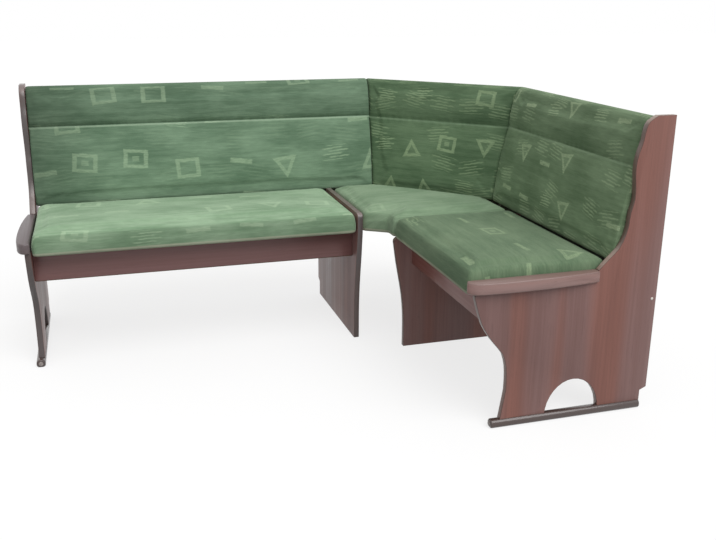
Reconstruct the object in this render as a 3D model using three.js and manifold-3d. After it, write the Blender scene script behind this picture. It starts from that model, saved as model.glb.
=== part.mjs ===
// Corner storage bench: a long and a short upholstered bench that meet in a fixed corner seat.
// Lengths are millimetres, +Z is up, and the origin is on the floor below the middle of the
// bounding box. Each bench is drawn in a frame of its own: x runs along its wall from the room
// corner, y is the depth from that wall into the room, and a turned group sets it in place.
import * as THREE from "three";
import Module from "manifold-3d";
import { mergeVertices } from "three/addons/utils/BufferGeometryUtils.js";

const wasm = await Module();
wasm.setup();

// Driving sizes of the whole bench
const longLength = 1712; // room corner to the outer face of the long bench's end panel
const shortLength = 1271; // the same for the short bench
const benchHeight = 850;
const seatDepth = 570; // wall to the front of the seat cushions
const seatUnderside = 388; // floor to the underside of the seat boards
const longCornerClear = 650; // room corner to the corner side of the long bench's inner panel
const shortCornerClear = 631;
const boardThickness = 18; // laminated board
const fitGap = 0.3; // between pieces that are screwed or laid together
const cutOverrun = 5; // how far a cutting solid runs past the face it cuts
const weldDistance = 0.001;
const quarterTurn = Math.PI / 2;

// End panels: a column behind the seat, a shoulder under the arm cap and two legs round an arch
const endPanelSetback = 13; // behind the front of the cushions
const endPanelDepth = seatDepth - endPanelSetback;
const shoulderRise = 14; // seat underside to the top of the shoulder
const shoulderHeight = seatUnderside + shoulderRise;
const armCapThickness = 33;
const armCapTop = shoulderHeight + fitGap + armCapThickness;
const skirtingDepth = 20; // notch that clears the room's skirting board
const skirtingHeight = 63;
const skirtingSlope = 9;
const archWidth = 169;
const archHeight = 118;
const archRearDepth = 158; // wall to the rear foot of the arch
// Depth as a share of endPanelDepth, height as a share of the rise from the arm cap to the top
const columnEdgeShares = [
  [0.1, 1],
  [0.144, 0.962],
  [0.16, 0.909],
  [0.169, 0.831],
  [0.185, 0.763],
  [0.194, 0.691],
  [0.192, 0.617],
  [0.185, 0.54],
  [0.183, 0.462],
  [0.19, 0.414],
  [0.199, 0.363],
  [0.206, 0.259],
  [0.238, 0.147],
  [0.294, 0.069],
  [0.345, 0],
];
// Depth as a share of endPanelDepth, height as a share of the rise from foot to shoulder
const legEdgeShares = [
  [0.982, 1],
  [1, 0.98],
  [0.986, 0.895],
  [0.957, 0.769],
  [0.914, 0.666],
  [0.87, 0.586],
  [0.836, 0.525],
  [0.818, 0.441],
  [0.812, 0.361],
  [0.811, 0.243],
  [0.821, 0.144],
  [0.831, 0.047],
  [0.837, 0],
];
const columnEdgeSteps = 30;
const legEdgeSteps = 20;
const archSteps = 16;

// Arm caps: boards with eased edges that bow out over the outer faces of the end panels
const armCapOverhang = 25; // past the outer face where the bow is widest
const armCapNose = 23; // past the front of the end panel
const armCapNoseSlant = 6; // the nose falls back by this much at the inner face
const armCapEdgeRadius = 5;
const armCapEdgeSteps = 3;
const armCapBowSteps = 16;
const armCapNoseRun = 30; // the stretch at the front over which the bow turns in
// Place as a share of the cap behind that stretch, overhang as a share of armCapOverhang
const armCapBowShares = [
  [0, 0.3],
  [0.16, 0.62],
  [0.4, 0.9],
  [0.68, 1],
  [0.86, 0.95],
  [1, 0.78],
];
// Place as a share of armCapNoseRun, overhang as a share of armCapOverhang
const armCapNoseShares = [
  [0.75, 0.38],
  [1, -0.1],
];

// Foot runners: round-edged rails that the legs of an end panel stand in
const runnerHeight = 25;
const runnerOutside = 8; // past the outer face of the end panel
const runnerInside = 2; // past its inner face
const runnerNose = 27; // past the front leg
const runnerSlotDepth = 10;
const runnerSlotEndGap = 1.5; // lets the sloping edges of the legs in
const runnerEdgeRadius = 12;
const runnerFootRadius = 9;
const runnerEndRadius = 4;
const runnerEdgeSteps = 4;
const plugRadius = 7;
const plugThickness = 2;

// Screw caps over the bolts that hold the rear rails
const screwCapRadius = 4;
const screwCapThickness = 1.6;
const screwCapDrop = 5; // below the middle of the rail
const discSteps = 16;
const discRimShare = 0.5;
const discCrownShare = 0.6;

// Inner panels: plain legs under the seat that rise as a column behind the back
const innerPanelSetback = 3; // behind the front of the cushions
const innerPanelDepth = seatDepth - innerPanelSetback;
const longPanelRise = 67; // seat underside to the top edge between two cushions
const longPanelTop = seatUnderside + longPanelRise;
const shortPanelTop = seatUnderside - fitGap; // the corner cushion covers this one
const innerPanelNoseRadius = 16;
const innerPanelNoseSteps = 4;
const innerColumnTopDrop = 60; // below the top of the bench
const backShelfGap = 3; // between the panel and the lower edge of the back
// Depth as a share of innerPanelDepth, height as a share of the leg below the nose
const innerEdgeShares = [
  [1, 1],
  [0.982, 0.812],
  [0.963, 0.657],
  [0.944, 0.49],
  [0.933, 0.309],
  [0.931, 0.155],
  [0.931, 0],
];
const innerEdgeSteps = 12;

// Storage box: apron, rear rail, floor sheet and the rail that carries the hinges
const apronSetback = 66; // behind the front of the cushions
const boxSideHeight = 93; // apron and rear rail
const rearRailGap = 5; // between the rear rail and the wall
const hingeRailHeight = 46;
const boxFloorThickness = 4;
const boxFloorInset = 9; // from the outer faces of the apron and the rear rail

// Seats: a board in the underside of an upholstered cushion
const seatBoardThickness = 16;
const seatBoardInset = 13;
const seatSideGap = 3; // between a cushion and the panel beside it
const cushionHeight = 80;
const cushionRollInset = 20; // from the side of a cushion to the end of its rolled edge
const cushionCornerRadius = 16;
const cushionCornerSteps = 4;
const cushionSideDraw = 4; // how far the longest side is drawn in at its middle
const cushionEdgeStep = 150; // spacing of points along the sides
const cushionEdgeFewest = 2; // stretches in the shortest side
const cushionTopCornerShare = 0.6; // corner radius left at the end of the roll
// Inset as a share of cushionRollInset, height as a share of cushionHeight, share of the draw
const cushionEdgeShares = [
  [0.45, 0, 0.2],
  [0.1, 0.05, 0.6],
  [0, 0.18, 1],
  [0, 0.48, 1],
  [0.12, 0.68, 0.8],
  [0.4, 0.83, 0.5],
  [1, 0.91, 0.3],
];
// Size left of the last ring, height as a share of cushionHeight
const cushionCrownShares = [
  [0.84, 0.955],
  [0.55, 1],
];
const chamferLongDepth = 545; // where the corner cushion's front meets the long bench
const chamferShortDepth = 572; // where it meets the short bench
const chamferShortReach = 595; // room corner to the bend in that front
const cornerSeatRearGap = 1; // between the corner cushion and the tall part of the inner panels
const ledgerWidth = 30;
const ledgerHeight = 30;
const ledgerRearDepth = 60;
const ledgerFrontSetback = 120;

// Backs: padded panels that lean towards the wall
const backFrontDepth = 151; // wall to the front face at its lower edge
const backTopClear = 21.5; // wall to the rear face at its upper edge
const backLowerRise = 62; // seat underside to that lower edge
const backThickness = 56;
const backTopMargin = 9; // below the top of the bench
const backBandHeight = 140; // from the sewn seam to the top
const backCornerStart = 481; // room corner to the ends of the straight backs
const backSideGap = 1.5;
const backBoardThickness = 16;
const backBoardInset = 12;
const backBoardTopInset = 32;
const backCrown = 6;
const backSeamDepth = 5;
const backSeamHalfWidth = 5;
const backTopRoll = 30;
const backBottomRoll = 10;
const backEndRoll = 6;
const backPanelSteps = 5;
const backBandSteps = 3;
const backRollSteps = 4;
const backTopSteps = 8;
const backMiddleSlices = 6;
// Places in the end roll as shares of backEndRoll
const backEndShares = [0, 0.12, 0.45, 1];
const cleatThickness = 20;
const cleatWidth = 30;
const cleatEndInset = 25;
const gussetFootDepth = 90;
const gussetTopDepth = 22;
const gussetHeight = 300;
const gussetOffset = 125; // either side of the corner back's middle

// Lids: hinged well forward of their rear edges, which dip below the backs as the lids open
const lidRearGap = 6; // between the front of the back's lower edge and the rear of a lid
const lidRearOverhang = 71; // behind the hinge axis, so that it dips below the back
const hingeLength = 60;
const hingeLeafThickness = 1.5;
const hingeLeafWidth = 32;
const hingeBarrelRadius = 3.5;
const hingePinRadius = 1.6;
const hingePinClearance = 0.1;
const hingeKnuckleGap = 0.6;
const hingeKnuckles = 3;
const hingeBarrelSteps = 14;
const hingeBarrelClearance = 0.5;
const longHingeShares = [0.1, 0.5, 0.9];
const shortHingeShares = [0.18, 0.82];

// Steel angle that joins the two rear rails
const angleLeg = 40;
const angleHeight = 60;
const angleThickness = 2;

// Worked-out levels and depths
const seatBoardTop = seatUnderside + seatBoardThickness;
const panelFoot = runnerHeight - runnerSlotDepth;
const columnFootDepth = endPanelDepth * columnEdgeShares[columnEdgeShares.length - 1][0];
const legFoot = endPanelDepth * legEdgeShares[legEdgeShares.length - 1][0];
const runnerFront = legFoot + runnerNose;
const boxSideTop = seatUnderside - fitGap;
const boxSideBottom = boxSideTop - boxSideHeight;
const apronFront = seatDepth - apronSetback;
const apronRear = apronFront - boardThickness;
const rearRailFront = rearRailGap + boardThickness;
const lidRear = backFrontDepth + lidRearGap;
const hingeAxisDepth = lidRear + lidRearOverhang;
const lidLeafTop = seatUnderside - fitGap;
const hingeAxisHeight = lidLeafTop - hingeBarrelRadius;
const hingeRailRear = hingeAxisDepth + hingeBarrelRadius + fitGap;
const hingeRailTop = lidLeafTop - hingeLeafThickness - fitGap;
const backLowerEdge = seatUnderside + backLowerRise;
const backRise = benchHeight - backTopMargin - backLowerEdge;
const backTopShift = backFrontDepth - backTopClear;
// The lean takes the rear face from the foot of the front face to the clearance at the top
const backSlant = Math.atan2(backRise, backTopShift);
const backLean = Math.acos(backThickness / Math.hypot(backTopShift, backRise)) - backSlant;
const backFootDepth = backFrontDepth - backThickness * Math.cos(backLean);
const backFootHeight = backLowerEdge - backThickness * Math.sin(backLean);
const backHeight = (benchHeight - backTopMargin - backFootHeight) / Math.cos(backLean);
const backSkirtRise = (seatBoardTop + fitGap - backFootHeight) / Math.cos(backLean);

const finishes = {
  laminate: { color: 0x70443b, roughness: 0.45, metalness: 0 },
  plywood: { color: 0xb98e5e, roughness: 0.7, metalness: 0 },
  hardboard: { color: 0x7a5a3c, roughness: 0.8, metalness: 0 },
  longFabric: { color: 0x85a687, roughness: 0.95, metalness: 0 },
  shortFabric: { color: 0x6b8a6b, roughness: 0.95, metalness: 0 },
  cornerFabric: { color: 0x597857, roughness: 0.95, metalness: 0 },
  steel: { color: 0x9a9a98, roughness: 0.35, metalness: 0.9 },
  plastic: { color: 0xd8d6d0, roughness: 0.5, metalness: 0 },
};

// Adds one named piece to a group
function addPiece(group, name, geometry, finish) {
  const mesh = new THREE.Mesh(geometry, new THREE.MeshStandardMaterial(finishes[finish]));
  mesh.name = name;
  group.add(mesh);
}

// A three.js geometry as a solid that can be joined or cut
function toSolid(geometry) {
  const bare = geometry.index ? geometry.toNonIndexed() : geometry.clone();
  bare.deleteAttribute("normal");
  bare.deleteAttribute("uv");
  const merged = mergeVertices(bare, weldDistance);
  const mesh = new wasm.Mesh({
    numProp: 3,
    vertProperties: merged.attributes.position.array,
    triVerts: new Uint32Array(merged.index.array),
  });
  return new wasm.Manifold(mesh);
}

// A solid back as a three.js geometry
function toGeometry(solid) {
  const mesh = solid.getMesh();
  const geometry = new THREE.BufferGeometry();
  geometry.setAttribute("position", new THREE.BufferAttribute(mesh.vertProperties, 3));
  geometry.setIndex(new THREE.BufferAttribute(mesh.triVerts, 1));
  geometry.computeVertexNormals();
  return geometry;
}

function cut(geometry, ...tools) {
  const start = toSolid(geometry);
  return toGeometry(tools.reduce((solid, tool) => solid.subtract(toSolid(tool)), start));
}

function join(...geometries) {
  const solids = geometries.map(toSolid);
  return toGeometry(solids.reduce((solid, next) => solid.add(next)));
}

// A box from its lower to its upper limit along each axis
function box([xLow, xHigh], [yLow, yHigh], [zLow, zHigh]) {
  const geometry = new THREE.BoxGeometry(xHigh - xLow, yHigh - yLow, zHigh - zLow);
  return geometry.translate((xLow + xHigh) / 2, (yLow + yHigh) / 2, (zLow + zHigh) / 2);
}

const axisX = new THREE.Vector3(1, 0, 0);
const axisY = new THREE.Vector3(0, 1, 0);
const axisZ = new THREE.Vector3(0, 0, 1);
// An outline of depth and height becomes a plate across the bench
const plateBasis = new THREE.Matrix4().makeBasis(axisY, axisZ, axisX);
// A section of width and height becomes a rail that runs towards the wall
const railBasis = new THREE.Matrix4().makeBasis(axisX, axisZ, axisY.clone().negate());

// A plate with an outline of depth and height, from one place along the bench
function plate(outline, start, thickness) {
  const options = { depth: thickness, bevelEnabled: false };
  const geometry = new THREE.ExtrudeGeometry(new THREE.Shape(outline), options);
  return geometry.applyMatrix4(plateBasis).translate(start, 0, 0);
}

const point = (x, y) => new THREE.Vector2(x, y);

// Points of a smooth edge through a table of shares
function edgeThrough(shares, depth, low, high, steps) {
  const through = shares.map(([depthShare, heightShare]) =>
    point(depth * depthShare, low + (high - low) * heightShare),
  );
  return new THREE.SplineCurve(through).getPoints(steps);
}

// A closed solid through rings of points, with a fan over each end
function loft(rings) {
  const count = rings[0].length;
  const vertices = rings.flat();
  const ends = [rings[0], rings[rings.length - 1]];
  const middles = ends.map((ring) => {
    const sum = ring.reduce((total, vertex) => total.add(vertex), new THREE.Vector3());
    return sum.divideScalar(count);
  });
  const indices = [];
  for (let ring = 0; ring + 1 < rings.length; ring++) {
    for (let i = 0; i < count; i++) {
      const here = ring * count + i;
      const beside = ring * count + ((i + 1) % count);
      indices.push(here, beside, beside + count);
      indices.push(here, beside + count, here + count);
    }
  }
  const lastRing = (rings.length - 1) * count;
  for (let i = 0; i < count; i++) {
    const beside = (i + 1) % count;
    indices.push(vertices.length, beside, i);
    indices.push(vertices.length + 1, lastRing + i, lastRing + beside);
  }
  return outwards([...vertices, ...middles], indices);
}

// Builds a geometry and turns its faces outwards if its volume comes out negative
function outwards(vertices, indices) {
  let volume = 0;
  for (let i = 0; i < indices.length; i += 3) {
    const [a, b, c] = indices.slice(i, i + 3).map((index) => vertices[index]);
    volume += a.dot(b.clone().cross(c));
  }
  const facing = volume < 0 ? indices.reverse() : indices;
  const geometry = new THREE.BufferGeometry().setFromPoints(vertices);
  geometry.setIndex(facing);
  geometry.computeVertexNormals();
  return geometry;
}

// A low disc on the xy plane with a softened rim
function disc(radius, thickness) {
  const profile = [
    point(0, 0),
    point(radius, 0),
    point(radius, thickness * discRimShare),
    point(radius * discCrownShare, thickness),
    point(0, thickness),
  ];
  return new THREE.LatheGeometry(profile, discSteps).rotateX(quarterTurn);
}

// End panel, arm cap, runner and caps

function endPanelOutline() {
  const arch = new THREE.EllipseCurve(
    archRearDepth + archWidth / 2,
    panelFoot,
    archWidth / 2,
    archHeight - panelFoot,
    0,
    Math.PI,
  );
  return [
    point(0, skirtingHeight),
    point(0, benchHeight),
    ...edgeThrough(columnEdgeShares, endPanelDepth, armCapTop, benchHeight, columnEdgeSteps),
    point(columnFootDepth, shoulderHeight),
    ...edgeThrough(legEdgeShares, endPanelDepth, panelFoot, shoulderHeight, legEdgeSteps),
    ...arch.getPoints(archSteps),
    point(skirtingDepth, panelFoot),
    point(skirtingDepth, skirtingHeight - skirtingSlope),
  ];
}

function armCap(innerFace, outerFace) {
  const rear = columnFootDepth + fitGap;
  const front = endPanelDepth + armCapNose;
  const noseStart = front - armCapNoseRun;
  const bowPoints = (shares, start, end) =>
    shares.map(([placeShare, overhangShare]) =>
      point(outerFace + armCapOverhang * overhangShare, start + (end - start) * placeShare),
    );
  const bow = [
    ...bowPoints(armCapBowShares, rear, noseStart),
    ...bowPoints(armCapNoseShares, noseStart, front),
  ];
  const outline = [
    point(innerFace, rear),
    ...new THREE.SplineCurve(bow).getPoints(armCapBowSteps),
    point(innerFace, front - armCapNoseSlant),
  ];
  const options = {
    depth: armCapThickness - 2 * armCapEdgeRadius,
    bevelThickness: armCapEdgeRadius,
    bevelSize: armCapEdgeRadius,
    bevelOffset: -armCapEdgeRadius,
    bevelSegments: armCapEdgeSteps,
  };
  const geometry = new THREE.ExtrudeGeometry(new THREE.Shape(outline), options);
  return geometry.translate(0, 0, shoulderHeight + fitGap + armCapEdgeRadius);
}

function runnerSection(innerSide, outerSide) {
  const shape = new THREE.Shape();
  const low = runnerFootRadius;
  const corner = runnerEdgeRadius;
  shape.absarc(innerSide + corner, runnerHeight - corner, corner, quarterTurn, Math.PI);
  shape.absarc(innerSide + low, low, low, Math.PI, Math.PI + quarterTurn);
  shape.absarc(outerSide - low, low, low, -quarterTurn, 0);
  shape.absarc(outerSide - corner, runnerHeight - corner, corner, 0, quarterTurn);
  return shape;
}

function footRunner(innerFace, outerFace) {
  const rear = skirtingDepth;
  const options = {
    depth: runnerFront - rear - 2 * runnerEndRadius,
    curveSegments: runnerEdgeSteps,
    bevelThickness: runnerEndRadius,
    bevelSize: runnerEndRadius,
    bevelOffset: -runnerEndRadius,
    bevelSegments: runnerEdgeSteps,
  };
  const section = runnerSection(innerFace - runnerInside, outerFace + runnerOutside);
  const bar = new THREE.ExtrudeGeometry(section, options);
  bar.applyMatrix4(railBasis).translate(0, runnerFront - runnerEndRadius, 0);
  const slotWidth = [innerFace - fitGap, outerFace + fitGap];
  const slotHeight = [panelFoot - fitGap, runnerHeight + cutOverrun];
  const archFront = archRearDepth + archWidth;
  return cut(
    bar,
    box(slotWidth, [rear - cutOverrun, archRearDepth + runnerSlotEndGap], slotHeight),
    box(slotWidth, [archFront - runnerSlotEndGap, legFoot + runnerSlotEndGap], slotHeight),
  );
}

function addEndPanel(group, name, length) {
  const innerFace = length - boardThickness;
  const runnerMiddle = (innerFace - runnerInside + length + runnerOutside) / 2;
  const plug = disc(plugRadius, plugThickness).rotateX(-quarterTurn);
  const cap = disc(screwCapRadius, screwCapThickness).rotateY(quarterTurn);
  const capHeight = (boxSideTop + boxSideBottom) / 2 - screwCapDrop;
  const capDepth = rearRailGap + boardThickness / 2;
  addPiece(group, `${name}_end_panel`, plate(endPanelOutline(), innerFace, boardThickness), "laminate");
  addPiece(group, `${name}_arm_cap`, armCap(innerFace, length), "laminate");
  addPiece(group, `${name}_foot_runner`, footRunner(innerFace, length), "laminate");
  plug.translate(runnerMiddle, runnerFront + fitGap, runnerHeight / 2);
  addPiece(group, `${name}_runner_plug`, plug, "plastic");
  cap.translate(length + fitGap, capDepth, capHeight);
  addPiece(group, `${name}_screw_cap`, cap, "plastic");
}

// Inner panel

// Depth of the rear plane of the straight backs at a height
const backRearDepth = (height) => backFootDepth - (height - backFootHeight) * Math.tan(backLean);

function innerPanelOutline(top) {
  const columnTop = benchHeight - innerColumnTopDrop;
  const shelf = backFootHeight - backShelfGap;
  const notch = rearRailFront + fitGap;
  const noseTop = top - innerPanelNoseRadius;
  const legTop = Math.min(seatUnderside, noseTop);
  const nose = new THREE.EllipseCurve(
    innerPanelDepth - innerPanelNoseRadius,
    noseTop,
    innerPanelNoseRadius,
    innerPanelNoseRadius,
    quarterTurn,
    0,
    true,
  );
  const columnGap = fitGap / Math.cos(backLean);
  return [
    point(notch, skirtingHeight),
    point(notch, boxSideTop + fitGap),
    point(rearRailGap, boxSideTop + fitGap),
    point(rearRailGap, columnTop),
    point(backRearDepth(columnTop) - columnGap, columnTop),
    point(backRearDepth(shelf) - columnGap, shelf),
    point(backFrontDepth + backShelfGap, shelf),
    point(backFrontDepth + backShelfGap, top),
    ...nose.getPoints(innerPanelNoseSteps),
    ...edgeThrough(innerEdgeShares, innerPanelDepth, 0, legTop, innerEdgeSteps),
    point(notch + skirtingDepth, 0),
    point(notch + skirtingDepth, skirtingHeight - skirtingSlope),
  ];
}

// Storage box

function addStorageBox(group, name, innerFace, outerFace, rearRailStart) {
  const width = [innerFace + fitGap, outerFace - fitGap];
  const height = [boxSideBottom, boxSideTop];
  const hingeRailDepth = [hingeRailRear, hingeRailRear + boardThickness];
  const hingeRailSpan = [hingeRailTop - hingeRailHeight, hingeRailTop];
  const floorTop = boxSideBottom - fitGap;
  const floorDepth = [rearRailGap + boxFloorInset, apronFront - boxFloorInset];
  const rearRail = box([rearRailStart, outerFace - fitGap], [rearRailGap, rearRailFront], height);
  addPiece(group, `${name}_front_apron`, box(width, [apronRear, apronFront], height), "laminate");
  addPiece(group, `${name}_rear_rail`, rearRail, "laminate");
  addPiece(group, `${name}_hinge_rail`, box(width, hingeRailDepth, hingeRailSpan), "laminate");
  const floorSheet = box(width, floorDepth, [floorTop - boxFloorThickness, floorTop]);
  addPiece(group, `${name}_box_floor`, floorSheet, "hardboard");
}

// Cushions

// The corners of an outline moved inwards, for an outline that turns to the left
function insetCorners(corners, inset) {
  return corners.map((corner, i) => {
    const before = corners[(i + corners.length - 1) % corners.length];
    const after = corners[(i + 1) % corners.length];
    const normalIn = inwardNormal(before, corner);
    const normalOut = inwardNormal(corner, after);
    const share = inset / (1 + normalIn.dot(normalOut));
    return corner.clone().add(normalIn.add(normalOut).multiplyScalar(share));
  });
}

function inwardNormal(from, to) {
  const along = to.clone().sub(from).normalize();
  return point(-along.y, along.x);
}

// One level of a cushion: rounded corners and sides that are drawn in at their middles
function cushionRing(corners, inset, radius, draw, height) {
  const moved = insetCorners(corners, inset);
  const sides = corners.map((corner, i) => corner.distanceTo(corners[(i + 1) % corners.length]));
  const longest = Math.max(...sides);
  const arcs = moved.map((corner, i) => {
    const before = moved[(i + moved.length - 1) % moved.length];
    const after = moved[(i + 1) % moved.length];
    const turn = inwardNormal(before, corner).angleTo(inwardNormal(corner, after));
    const reach = radius * Math.tan(turn / 2);
    const start = corner.clone().sub(corner.clone().sub(before).setLength(reach));
    const end = corner.clone().add(after.clone().sub(corner).setLength(reach));
    return new THREE.QuadraticBezierCurve(start, corner, end).getPoints(cushionCornerSteps);
  });
  const ring = arcs.flatMap((arc, i) => {
    const start = arc[arc.length - 1];
    const end = arcs[(i + 1) % arcs.length][0];
    const steps = Math.max(cushionEdgeFewest, Math.round(sides[i] / cushionEdgeStep));
    const normal = inwardNormal(start, end);
    const between = Array.from({ length: steps - 1 }, (_, k) => {
      const share = (k + 1) / steps;
      const pull = draw * Math.sin(Math.PI * share) * (sides[i] / longest);
      return start.clone().lerp(end, share).addScaledVector(normal, pull);
    });
    return [...arc, ...between];
  });
  return ring.map(({ x, y }) => new THREE.Vector3(x, y, height));
}

// A crowned cushion over an outline
function cushion(corners) {
  const level = (share) => seatUnderside + cushionHeight * share;
  const edges = cushionEdgeShares.map(([insetShare, heightShare, drawShare]) => {
    const radius = cushionCornerRadius * (1 - insetShare * (1 - cushionTopCornerShare));
    const inset = cushionRollInset * insetShare;
    return cushionRing(corners, inset, radius, cushionSideDraw * drawShare, level(heightShare));
  });
  const last = edges[edges.length - 1];
  const middle = new THREE.Box3().setFromPoints(last).getCenter(new THREE.Vector3());
  const crowns = cushionCrownShares.map(([sizeShare, heightShare]) =>
    last.map((vertex) => vertex.clone().lerp(middle, 1 - sizeShare).setZ(level(heightShare))),
  );
  return loft([...edges, ...crowns]);
}

// A flat board with an outline seen from above
function flatBoard(corners, low, high) {
  const options = { depth: high - low, bevelEnabled: false };
  const geometry = new THREE.ExtrudeGeometry(new THREE.Shape(corners), options);
  return geometry.translate(0, 0, low);
}

function rectangle([xLow, xHigh], [yLow, yHigh]) {
  return [point(xLow, yLow), point(xHigh, yLow), point(xHigh, yHigh), point(xLow, yHigh)];
}

function addLidSeat(group, name, innerFace, outerFace) {
  const corners = rectangle(
    [innerFace + seatSideGap, outerFace - seatSideGap],
    [lidRear, seatDepth],
  );
  const boardCorners = insetCorners(corners, seatBoardInset);
  const recessCorners = insetCorners(corners, seatBoardInset - fitGap);
  const recess = flatBoard(recessCorners, seatUnderside - cutOverrun, seatBoardTop + fitGap);
  const board = flatBoard(boardCorners, seatUnderside, seatBoardTop);
  addPiece(group, `${name}_seat_board`, board, "plywood");
  addPiece(group, `${name}_seat_cushion`, cut(cushion(corners), recess), `${name}Fabric`);
}

// Padded backs, drawn with y as the thickness and z as the height along the lean

// Points across the thickness and up the height of a back, from the rear foot round the front
function backProfile(height) {
  const face = backThickness - backCrown;
  const seam = height - backBandHeight;
  const roll = new THREE.EllipseCurve(
    face - backBottomRoll,
    backBottomRoll,
    backBottomRoll,
    backBottomRoll,
    -quarterTurn,
    0,
  );
  const top = new THREE.EllipseCurve(
    face / 2,
    height - backTopRoll,
    face / 2,
    backTopRoll,
    0,
    Math.PI,
  );
  const lower = [backBottomRoll, seam - backSeamHalfWidth];
  const band = [seam + backSeamHalfWidth, height - backTopRoll];
  return [
    point(0, 0),
    ...roll.getPoints(backRollSteps).slice(0, -1),
    ...crownedFace(face, lower, backPanelSteps),
    point(face - backSeamDepth, seam),
    ...crownedFace(face, band, backBandSteps),
    ...top.getPoints(backTopSteps).slice(1),
  ];
}

// A stretch of the front face that swells between two seams
function crownedFace(face, [low, high], steps) {
  return Array.from({ length: steps + 1 }, (_, i) => {
    const swell = backCrown * Math.sin((Math.PI * i) / steps);
    return point(face + swell, low + ((high - low) * i) / steps);
  });
}

// Places of the slices along a back, as shares of its length
function sliceShares(length) {
  const ends = backEndShares.map((share) => (share * backEndRoll) / length);
  const first = ends[ends.length - 1];
  const middle = Array.from({ length: backMiddleSlices - 1 }, (_, i) => {
    return first + ((1 - 2 * first) * (i + 1)) / backMiddleSlices;
  });
  return [...ends, ...middle, ...ends.map((share) => 1 - share).reverse()];
}

// A padded back whose place along its length comes from a function
function paddedBack(length, height, place) {
  const profile = backProfile(height);
  const rings = sliceShares(length).map((share) => {
    const fromEnd = Math.min(share, 1 - share) * length;
    const rest = 1 - Math.min(1, fromEnd / backEndRoll);
    const shrink = backEndRoll * (1 - Math.sqrt(1 - rest * rest));
    const widthLeft = 1 - shrink / backThickness;
    const heightLeft = 1 - (2 * shrink) / height;
    return profile.map(({ x: thick, y: up }) => {
      const across = thick * widthLeft;
      const rise = height / 2 + (up - height / 2) * heightLeft;
      return new THREE.Vector3(place(share, across, rise), across, rise);
    });
  });
  return loft(rings);
}

// The frame of a straight back: a turn about x and a shift to its rear foot
const backFrame = new THREE.Matrix4()
  .makeRotationX(backLean)
  .setPosition(0, backFootDepth, backFootHeight);

// The board reaches down behind the seats on both sides of the inner panel
function backBoard([left, right], [innerPanelLeft, innerPanelRight], top) {
  const outline = [
    point(left, backSkirtRise),
    point(innerPanelLeft - fitGap, backSkirtRise),
    point(innerPanelLeft - fitGap, backBoardInset),
    point(innerPanelRight + fitGap, backBoardInset),
    point(innerPanelRight + fitGap, backSkirtRise),
    point(right, backSkirtRise),
    point(right, top),
    point(left, top),
  ];
  const options = { depth: backBoardThickness, bevelEnabled: false };
  const geometry = new THREE.ExtrudeGeometry(new THREE.Shape(outline), options);
  return geometry.rotateX(quarterTurn).translate(0, backBoardThickness, 0);
}

function addStraightBack(group, name, cornerClear, outerFace) {
  const start = backCornerStart;
  const end = outerFace - backSideGap;
  const pad = paddedBack(end - start, backHeight, (share) => start + (end - start) * share);
  const span = [start + backBoardInset, end - backBoardInset];
  const top = backHeight - backBoardTopInset;
  const board = backBoard(span, [cornerClear, cornerClear + boardThickness], top);
  const recess = box(
    [span[0] - fitGap, span[1] + fitGap],
    [-cutOverrun, backBoardThickness + fitGap],
    [-cutOverrun, top + fitGap],
  );
  const cleat = box(
    [outerFace - fitGap - cleatWidth, outerFace - fitGap],
    [-fitGap - cleatThickness, -fitGap],
    [cleatEndInset, backHeight - cleatEndInset - backBoardTopInset],
  );
  addPiece(group, `${name}_back_board`, board.applyMatrix4(backFrame), "plywood");
  addPiece(group, `${name}_back_cushion`, cut(pad, recess).applyMatrix4(backFrame), `${name}Fabric`);
  addPiece(group, `${name}_back_cleat`, cleat.applyMatrix4(backFrame), "plywood");
}

// Hinges

// One knuckle as a ring about the hinge axis
function knuckle(start, end) {
  const ring = new THREE.Shape();
  ring.absarc(0, 0, hingeBarrelRadius, 0, 2 * Math.PI);
  const bore = new THREE.Path();
  bore.absarc(0, 0, hingePinRadius + hingePinClearance, 0, 2 * Math.PI, true);
  ring.holes.push(bore);
  const options = { depth: end - start, bevelEnabled: false, curveSegments: hingeBarrelSteps / 2 };
  const geometry = new THREE.ExtrudeGeometry(ring, options);
  geometry.applyMatrix4(plateBasis);
  return geometry.translate(start, hingeAxisDepth, hingeAxisHeight);
}

// The stretch of one knuckle along the hinge
function knuckleSpan(start, index) {
  const gaps = hingeKnuckleGap * (hingeKnuckles - 1);
  const width = (hingeLength - gaps) / hingeKnuckles;
  const low = start + index * (width + hingeKnuckleGap);
  return [low, low + width];
}

// The leaf under the seat board, with the middle knuckle
function lidLeaf(start) {
  const height = [lidLeafTop - hingeLeafThickness, lidLeafTop];
  const clear = hingeAxisDepth + hingeBarrelRadius + hingeBarrelClearance;
  const far = hingeAxisDepth + hingeLeafWidth;
  const span = knuckleSpan(start, 1);
  const tongueDepth = [hingeAxisDepth + hingePinRadius + hingePinClearance, clear + fitGap];
  return join(
    box([start, start + hingeLength], [clear, far], height),
    box(span, tongueDepth, height),
    knuckle(...span),
  );
}

// The leaf behind the hinge rail, with the two outer knuckles
function railLeaf(start) {
  const outer = hingeAxisDepth + hingeBarrelRadius;
  const depth = [outer - hingeLeafThickness, outer];
  const clear = hingeAxisHeight - hingeBarrelRadius - hingeBarrelClearance;
  const low = hingeAxisHeight - hingeLeafWidth;
  const tongueHeight = [clear - fitGap, hingeAxisHeight - hingePinRadius - hingePinClearance];
  const pieces = [box([start, start + hingeLength], depth, [low, clear])];
  for (let index = 0; index < hingeKnuckles; index += 2) {
    const span = knuckleSpan(start, index);
    pieces.push(box(span, depth, tongueHeight));
    pieces.push(knuckle(...span));
  }
  return join(...pieces);
}

function hingePin(start) {
  const pin = new THREE.CylinderGeometry(hingePinRadius, hingePinRadius, hingeLength, hingeBarrelSteps);
  pin.rotateZ(quarterTurn);
  return pin.translate(start + hingeLength / 2, hingeAxisDepth, hingeAxisHeight);
}

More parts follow.
